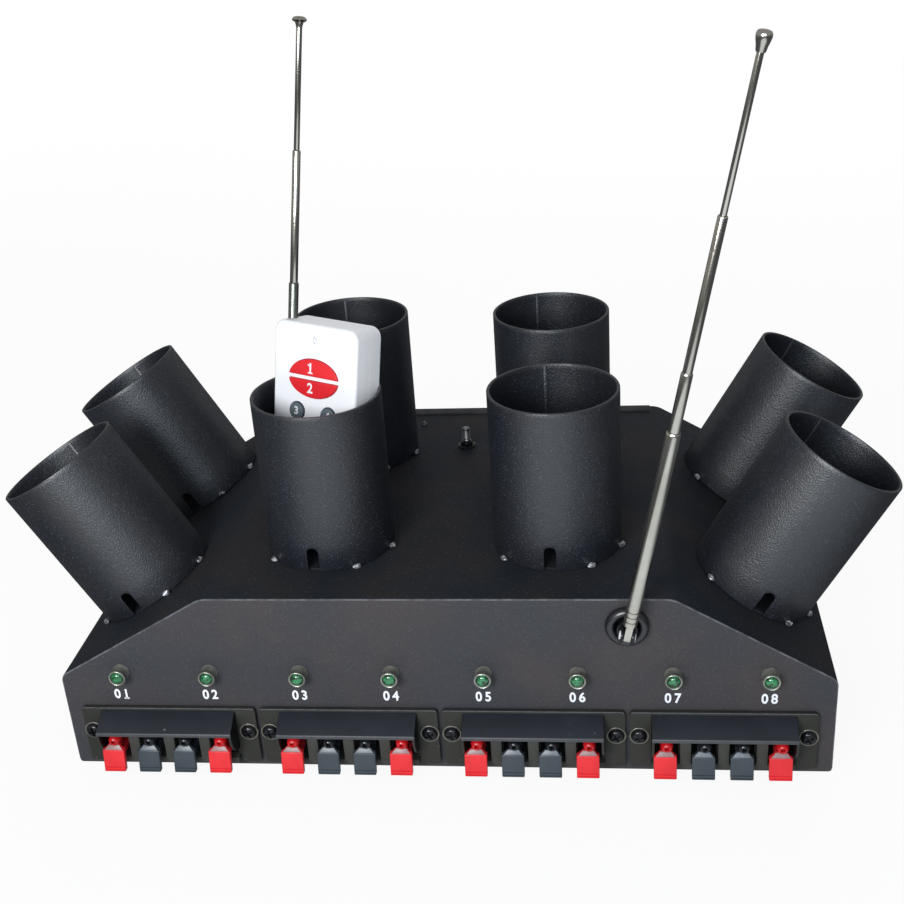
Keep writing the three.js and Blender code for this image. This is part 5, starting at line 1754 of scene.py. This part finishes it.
@dataclass
class HandRemote:
    """White hand remote with two half-oval buttons, two round ones and its antenna."""

    width: float = 41.0
    thickness: float = 17.0
    length: float = 93.0
    foot: float = 32.827
    corner: float = 4.6
    edge: float = 1.5
    wall: float = 1.6
    parting: float = 0.15
    oval: Triple = (21.7, 12.1, 7.8)
    bar: float = 0.9
    key: Triple = (35.8, 7.8, 3.6)
    gap: float = 0.25
    proud: float = 0.8
    hidden_rim: float = 0.55
    groove: Profile = ((0.75, -1.2), (1.2, -1.2), (1.2, 1.0), (0.75, 1.0))
    groove_drop: float = 6.4
    groove_shape: Pair = (0.75, 1.25)
    figure_shift: float = -1.2
    figure_rises: Pair = (4.0, -4.1)
    figure_sizes: Pair = (5.6, 4.4)
    figure_weight: float = 0.13
    print_gap: float = 0.03
    antenna: Pair = (-16.7, -1.5)
    antenna_bore: float = 2.3
    place: Triple = (-47.3, -40.899, 118.4)
    turn: float = -26.5
    lean: float = 12.294
    stub: Profile = (
        (1.8, -53.0), (2.0, -52.8), (2.0, 13.5), (1.9, 13.85), (1.78, 14.0), (1.75, 14.0),
        (1.75, -51.0),
    )
    middle: Profile = (
        (1.5, 4.3), (1.6, 4.5), (1.6, 65.2), (1.5, 65.55), (1.35, 65.7), (1.3, 65.7), (1.3, 4.3),
    )
    tip: Profile = (
        (1.0, 57.7), (1.15, 57.9), (1.15, 110.9), (1.25, 111.7), (1.65, 113.1), (2.4, 113.4),
        (2.9, 113.9), (2.8, 114.4), (2.2, 115.0), (1.3, 115.3),
    )

    @property
    def top(self) -> float:
        """Height of its top above the middle of the tube."""
        return self.length - self.foot

    @property
    def stand(self) -> Matrix:
        """Where it stands, leaning in its tube."""
        return moved(self.place) @ turned_by(self.turn, "Z") @ turned_by(-self.lean, "X")

    def build(self) -> None:
        """Builds shells, buttons, figures and the antenna."""
        whole = self.cushion()
        other = Bench.copy(whole, "remote_back", Matrix.Identity(4))
        back = self.half(other, "remote_back_case", 1)
        front = self.half(whole, "remote_front_case", -1)
        Bench.cut(front, *self.button_holes(), self.pilot_hole(), self.antenna_hole())
        Bench.cut(back, self.antenna_hole())
        for piece, node in ((front, "remote_front_shell"), (back, "remote_back_shell")):
            self.finish(piece, [WHITE_PLASTIC], Slot.WHITE_PLASTIC, "remote", node)
        for index in range(1, 5):
            self.button(index)
        self.antenna_rods()

    def finish(
        self, piece: Piece, finishes: list[Finish], slot: Slot, body: str, node: str
    ) -> None:
        """Dresses a piece of the remote and sets it leaning in the tube.

        Args:
            piece: The piece.
            finishes: Its finishes.
            slot: The record's slot, which is not used.
            body: The body that it rides on.
            node: The node that it stands for.
        """
        wear(piece, *finishes, angle=40)
        Bench.place(piece, self.stand)
        stand_in(piece, slot, body, node)

    def cushion(self) -> Piece:
        """Rounds a cube into the remote's body.

        Returns:
            The whole body.
        """
        size, middle = (self.width, self.thickness, self.length), (self.top - self.foot) / 2
        body = Bench.cube("remote_body", size, (0, 0, middle))
        with Bench.editing(body):
            Bench.round_edges(body, self.corner, 8, runs_deep)
            Bench.round_edges(
                body, self.edge, 8, lambda a, b, n: sum(abs(v.y) > 0.9 for v in n) == 1
            )
        return body

    def half(self, body: Piece, name: str, side: int) -> Piece:
        """Cuts one half off the body along the parting line and gives it a wall.

        Args:
            body: The whole body, which is used up.
            name: Name of the half.
            side: -1 for the front, 1 for the back.

        Returns:
            The half.
        """
        with Bench.editing(body):
            Bench.pick_all()
            Bench.keep_side((0, side, 0), self.parting)
        Bench.thicken(body, self.wall)
        body.name = name
        return body

    def button_shape(self, index: int, grow: float, low: float, high: float) -> Piece:
        """Draws one button's outline and extrudes it.

        Args:
            index: 1 and 2 for the half ovals, 3 and 4 for the round keys.
            grow: How far the outline grows.
            low: Where it starts, out of the remote's face.
            high: Where it ends.

        Returns:
            The shape, in place on the face.
        """
        if index < 3:
            drop, wide, tall = self.oval
            x, side = 0, 1 if index == 1 else -1
            shape = Bench.disc("button", 1.0, 72, low)
            with Bench.editing(shape):
                Bench.pick_all()
                Bench.resize((wide + grow, tall + grow, 1), (0, 0, low))
                Bench.keep_side((0, side, 0), self.bar - grow)
                Bench.pick_all()
                Bench.extrude((0, 0, high - low))
        else:
            drop, side, radius = self.key
            x = side if index == 4 else -side
            shape = Bench.rod("button", radius + grow, low, high, 36)
        Bench.tidy(shape)
        return Bench.place(shape, outward(x, -self.thickness / 2, self.top - drop))

    def button_holes(self) -> list[Piece]:
        """Gives the cutters for the four buttons."""
        return [self.button_shape(index, self.gap, -self.wall - 1, 1) for index in range(1, 5)]

    def pilot_hole(self) -> Piece:
        """Gives the cutter for the oval groove round the pilot lamp's window."""
        groove = Bench.turned("hole", self.groove, 28, ring=True)
        stand = outward(0, -self.thickness / 2, self.top - self.groove_drop)
        return Bench.place(groove, stand @ Matrix.Diagonal((*self.groove_shape, 1, 1)))

    def antenna_hole(self) -> Piece:
        """Gives the cutter for the hole that the antenna stands in."""
        hole = Bench.rod("hole", self.antenna_bore, self.top - 5, self.top + 3, 24)
        return Bench.place(hole, moved((*self.antenna, 0)))

    def button(self, index: int) -> None:
        """Builds one button with its flange and its printed figure.

        Args:
            index: Its number.
        """
        cap = self.button_shape(index, 0, -self.wall - 0.6, self.proud)
        Bench.soften(cap, 0.3, 3, 50)
        flange = self.button_shape(index, self.hidden_rim, -self.wall - 1.0, -self.wall - 0.25)
        made = Bench.join(f"remote_key_{index}", cap, flange)
        body = f"remote_button_{index}"
        if index < 3:
            self.finish(made, [RED_BUTTON], Slot.RED_PLASTIC, body, body)
        else:
            self.finish(made, [KEY_PLASTIC, KEY_SIDE_SHADE], Slot.KEY_GREY, body, body)
            # The keys' sides take the painted shade.
            refinish(made, 1, lambda c, n: (self.stand.to_3x3().inverted() @ n).y > -0.97)
        self.finish(self.figure(index), [PRINT_WHITE], Slot.WHITE_PLASTIC, body, body)

    def figure(self, index: int) -> Piece:
        """Prints one button's number, with a flag and a foot on the one.

        Args:
            index: The number.

        Returns:
            The figure, in place on the button.
        """
        drop, side, _ = self.key
        if index < 3:
            drop = self.oval[0] - self.figure_rises[index - 1]
            x, size = self.figure_shift, self.figure_sizes[0]
        else:
            x, size = side if index == 4 else -side, self.figure_sizes[1]
        stand = outward(x, -self.thickness / 2 - self.proud - self.print_gap, self.top - drop)
        figure = Bench.text(f"remote_figure_{index}", str(index), size, self.figure_weight, stand)
        if index != 1:
            return figure
        flag = Bench.cube("flag", (1.0, 0.6, 0.08), (-0.75, 1.35, 0))
        foot = Bench.cube("foot", (2.3, 0.55, 0.08), (0, -1.75, 0))
        strokes = (Bench.place(flag, stand), Bench.place(foot, stand))
        return Bench.join("remote_figure_1", figure, *strokes)

    def antenna_rods(self) -> None:
        """Builds the stub and the two sliding rods of the antenna."""
        rods = (
            ("remote_antenna_stub", self.stub, False, STUB_NICKEL, "remote"),
            ("remote_antenna_middle", self.middle, True, NICKEL, "remote_antenna_2"),
            ("remote_antenna_tip", self.tip, False, NICKEL, "remote_antenna_3"),
        )
        for number, (name, profile, bored, metal, body) in enumerate(rods, 1):
            rod = Bench.turned(name, profile, 28, ring=bored)
            Bench.place(rod, moved((*self.antenna, self.top)))
            node = f"remote_antenna_section_{number}"
            self.finish(rod, [metal], Slot.NICKEL, body, node)


@dataclass
class Underside:
    """Rubber feet."""

    run: float = 131.966
    rows: Pair = (-63.899, 72.101)
    foot: Profile = (
        (3.0, 2.0), (3.0, 0.2), (3.2, 0.0), (8.1, 0.0), (8.5, 0.3), (9.5, 3.4), (9.3, 3.7),
        (2.8, 3.7), (2.8, 5.8), (4.0, 5.8), (2.8, 7.4),
    )

    def build(self) -> None:
        """Builds the four feet."""
        foot = Bench.turned("foot", self.foot, 36)
        wear(foot, RUBBER, angle=40)
        stands = [moved((x, y, 0)) for y in self.rows for x in (-self.run, self.run)]
        for number, made in enumerate(Bench.spread(foot, "round_foot_{}", stands), 1):
            stand_in(made, Slot.SOFT_RUBBER, "base", f"rubber_foot_{number}")


@dataclass
class PowerSwitch:
    """Rocker switch on the back panel."""

    place: Triple = (103.966, BACK, 28.0)
    bezel: Triple = (15.0, 2.0, 21.0)
    bezel_corner: float = 1.2
    body: Triple = (12.6, 16.3, 18.8)
    well: Triple = (10.2, 9.3, 16.4)
    half: float = 7.4
    width: float = 9.6
    tilt: float = 8.0
    mark_place: Triple = (0, -2.76, 5.2)
    mark_slope: float = 14
    mark_size: float = 3.0
    mark_weight: float = 0.05

    def build(self) -> None:
        """Builds the frame, the rocker and its two marks."""
        stand = moved(self.place) @ turned_by(180, "Z")
        frame = Bench.place(self.frame(), stand)
        stand_in(frame, Slot.BLACK_PLASTIC, "base", "power_switch_body")
        tilted = stand @ turned_by(self.tilt, "X")
        rocker = Bench.place(self.rocker(), tilted)
        stand_in(rocker, Slot.BLACK_PLASTIC, "rocker", "power_rocker")
        x, y, z = self.mark_place
        marks = []
        for side, words in ((1, "I"), (-1, "O")):
            slope = turned_by(side * self.mark_slope, "X")
            face = tilted @ moved((x, y, side * z)) @ slope @ OUTWARD
            marks.append(Bench.text("mark", words, self.mark_size, self.mark_weight, face))
        printed = Bench.join("switch_marks", *marks)
        wear(printed, PRINT_WHITE)
        stand_in(printed, Slot.WHITE_PLASTIC, "rocker", "power_rocker")

    def frame(self) -> Piece:
        """Builds the frame with its body behind the panel.

        Returns:
            The frame.
        """
        frame = Bench.cube("switch_frame", self.bezel, (0, -1.3, 0))
        with Bench.editing(frame):
            Bench.round_edges(frame, self.bezel_corner, 4, runs_deep)
        Bench.unite(frame, Bench.cube("body", self.body, (0, 6.85, 0)))
        Bench.cut(frame, Bench.cube("well", self.well, (0, 0.35, 0)))
        Bench.soften(frame, 0.3, angle=40)
        wear(frame, BLOCK_PLASTIC, angle=35)
        return frame

    def rocker(self) -> Piece:
        """Builds the rocker, level, with its pivot at the middle.

        Returns:
            The rocker.
        """
        half = self.half
        outline = (
            (-3.2, -half), (1.5, 1 - half), (3.0, 0), (1.5, half - 1), (-3.2, half), (-2.2, 3.4),
            (-1.8, 0), (-2.2, -3.4),
        )
        corners = [(-self.width / 2, y, z) for y, z in outline]
        rocker = Bench.prism("switch_rocker", corners, (self.width, 0, 0))
        Bench.soften(rocker, 0.25)
        wear(rocker, BLOCK_PLASTIC, angle=35)
        return rocker


def dress_kept_nodes(nodes: dict[str, Piece]) -> None:
    """Gives the CAD nodes whose shape stays their finishes.

    Args:
        nodes: The CAD nodes by name.
    """
    kept = {"base_plate": ZINC, "battery_pack": BATTERY, "receiver_board": BOARD}
    for name, finish in kept.items():
        for slot in nodes[name].material_slots:
            slot.material = finish.material()
        LOG.info("%s keeps its CAD shape", name)


def main() -> None:
    """Builds the studio and every piece of the launcher."""
    logging.basicConfig(level=logging.INFO, format="%(name)s: %(message)s")
    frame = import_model()
    Studio().build()
    for kind in (
        Housing, EffectTubes, CueLamps, TerminalBlocks, PanelAntenna, HandRemote, Underside,
        PowerSwitch,
    ):
        kind().build()
        LOG.info("%s is finished", kind.__name__)
    dress_kept_nodes(frame["nodes"])


if __name__ == "__main__":
    main()
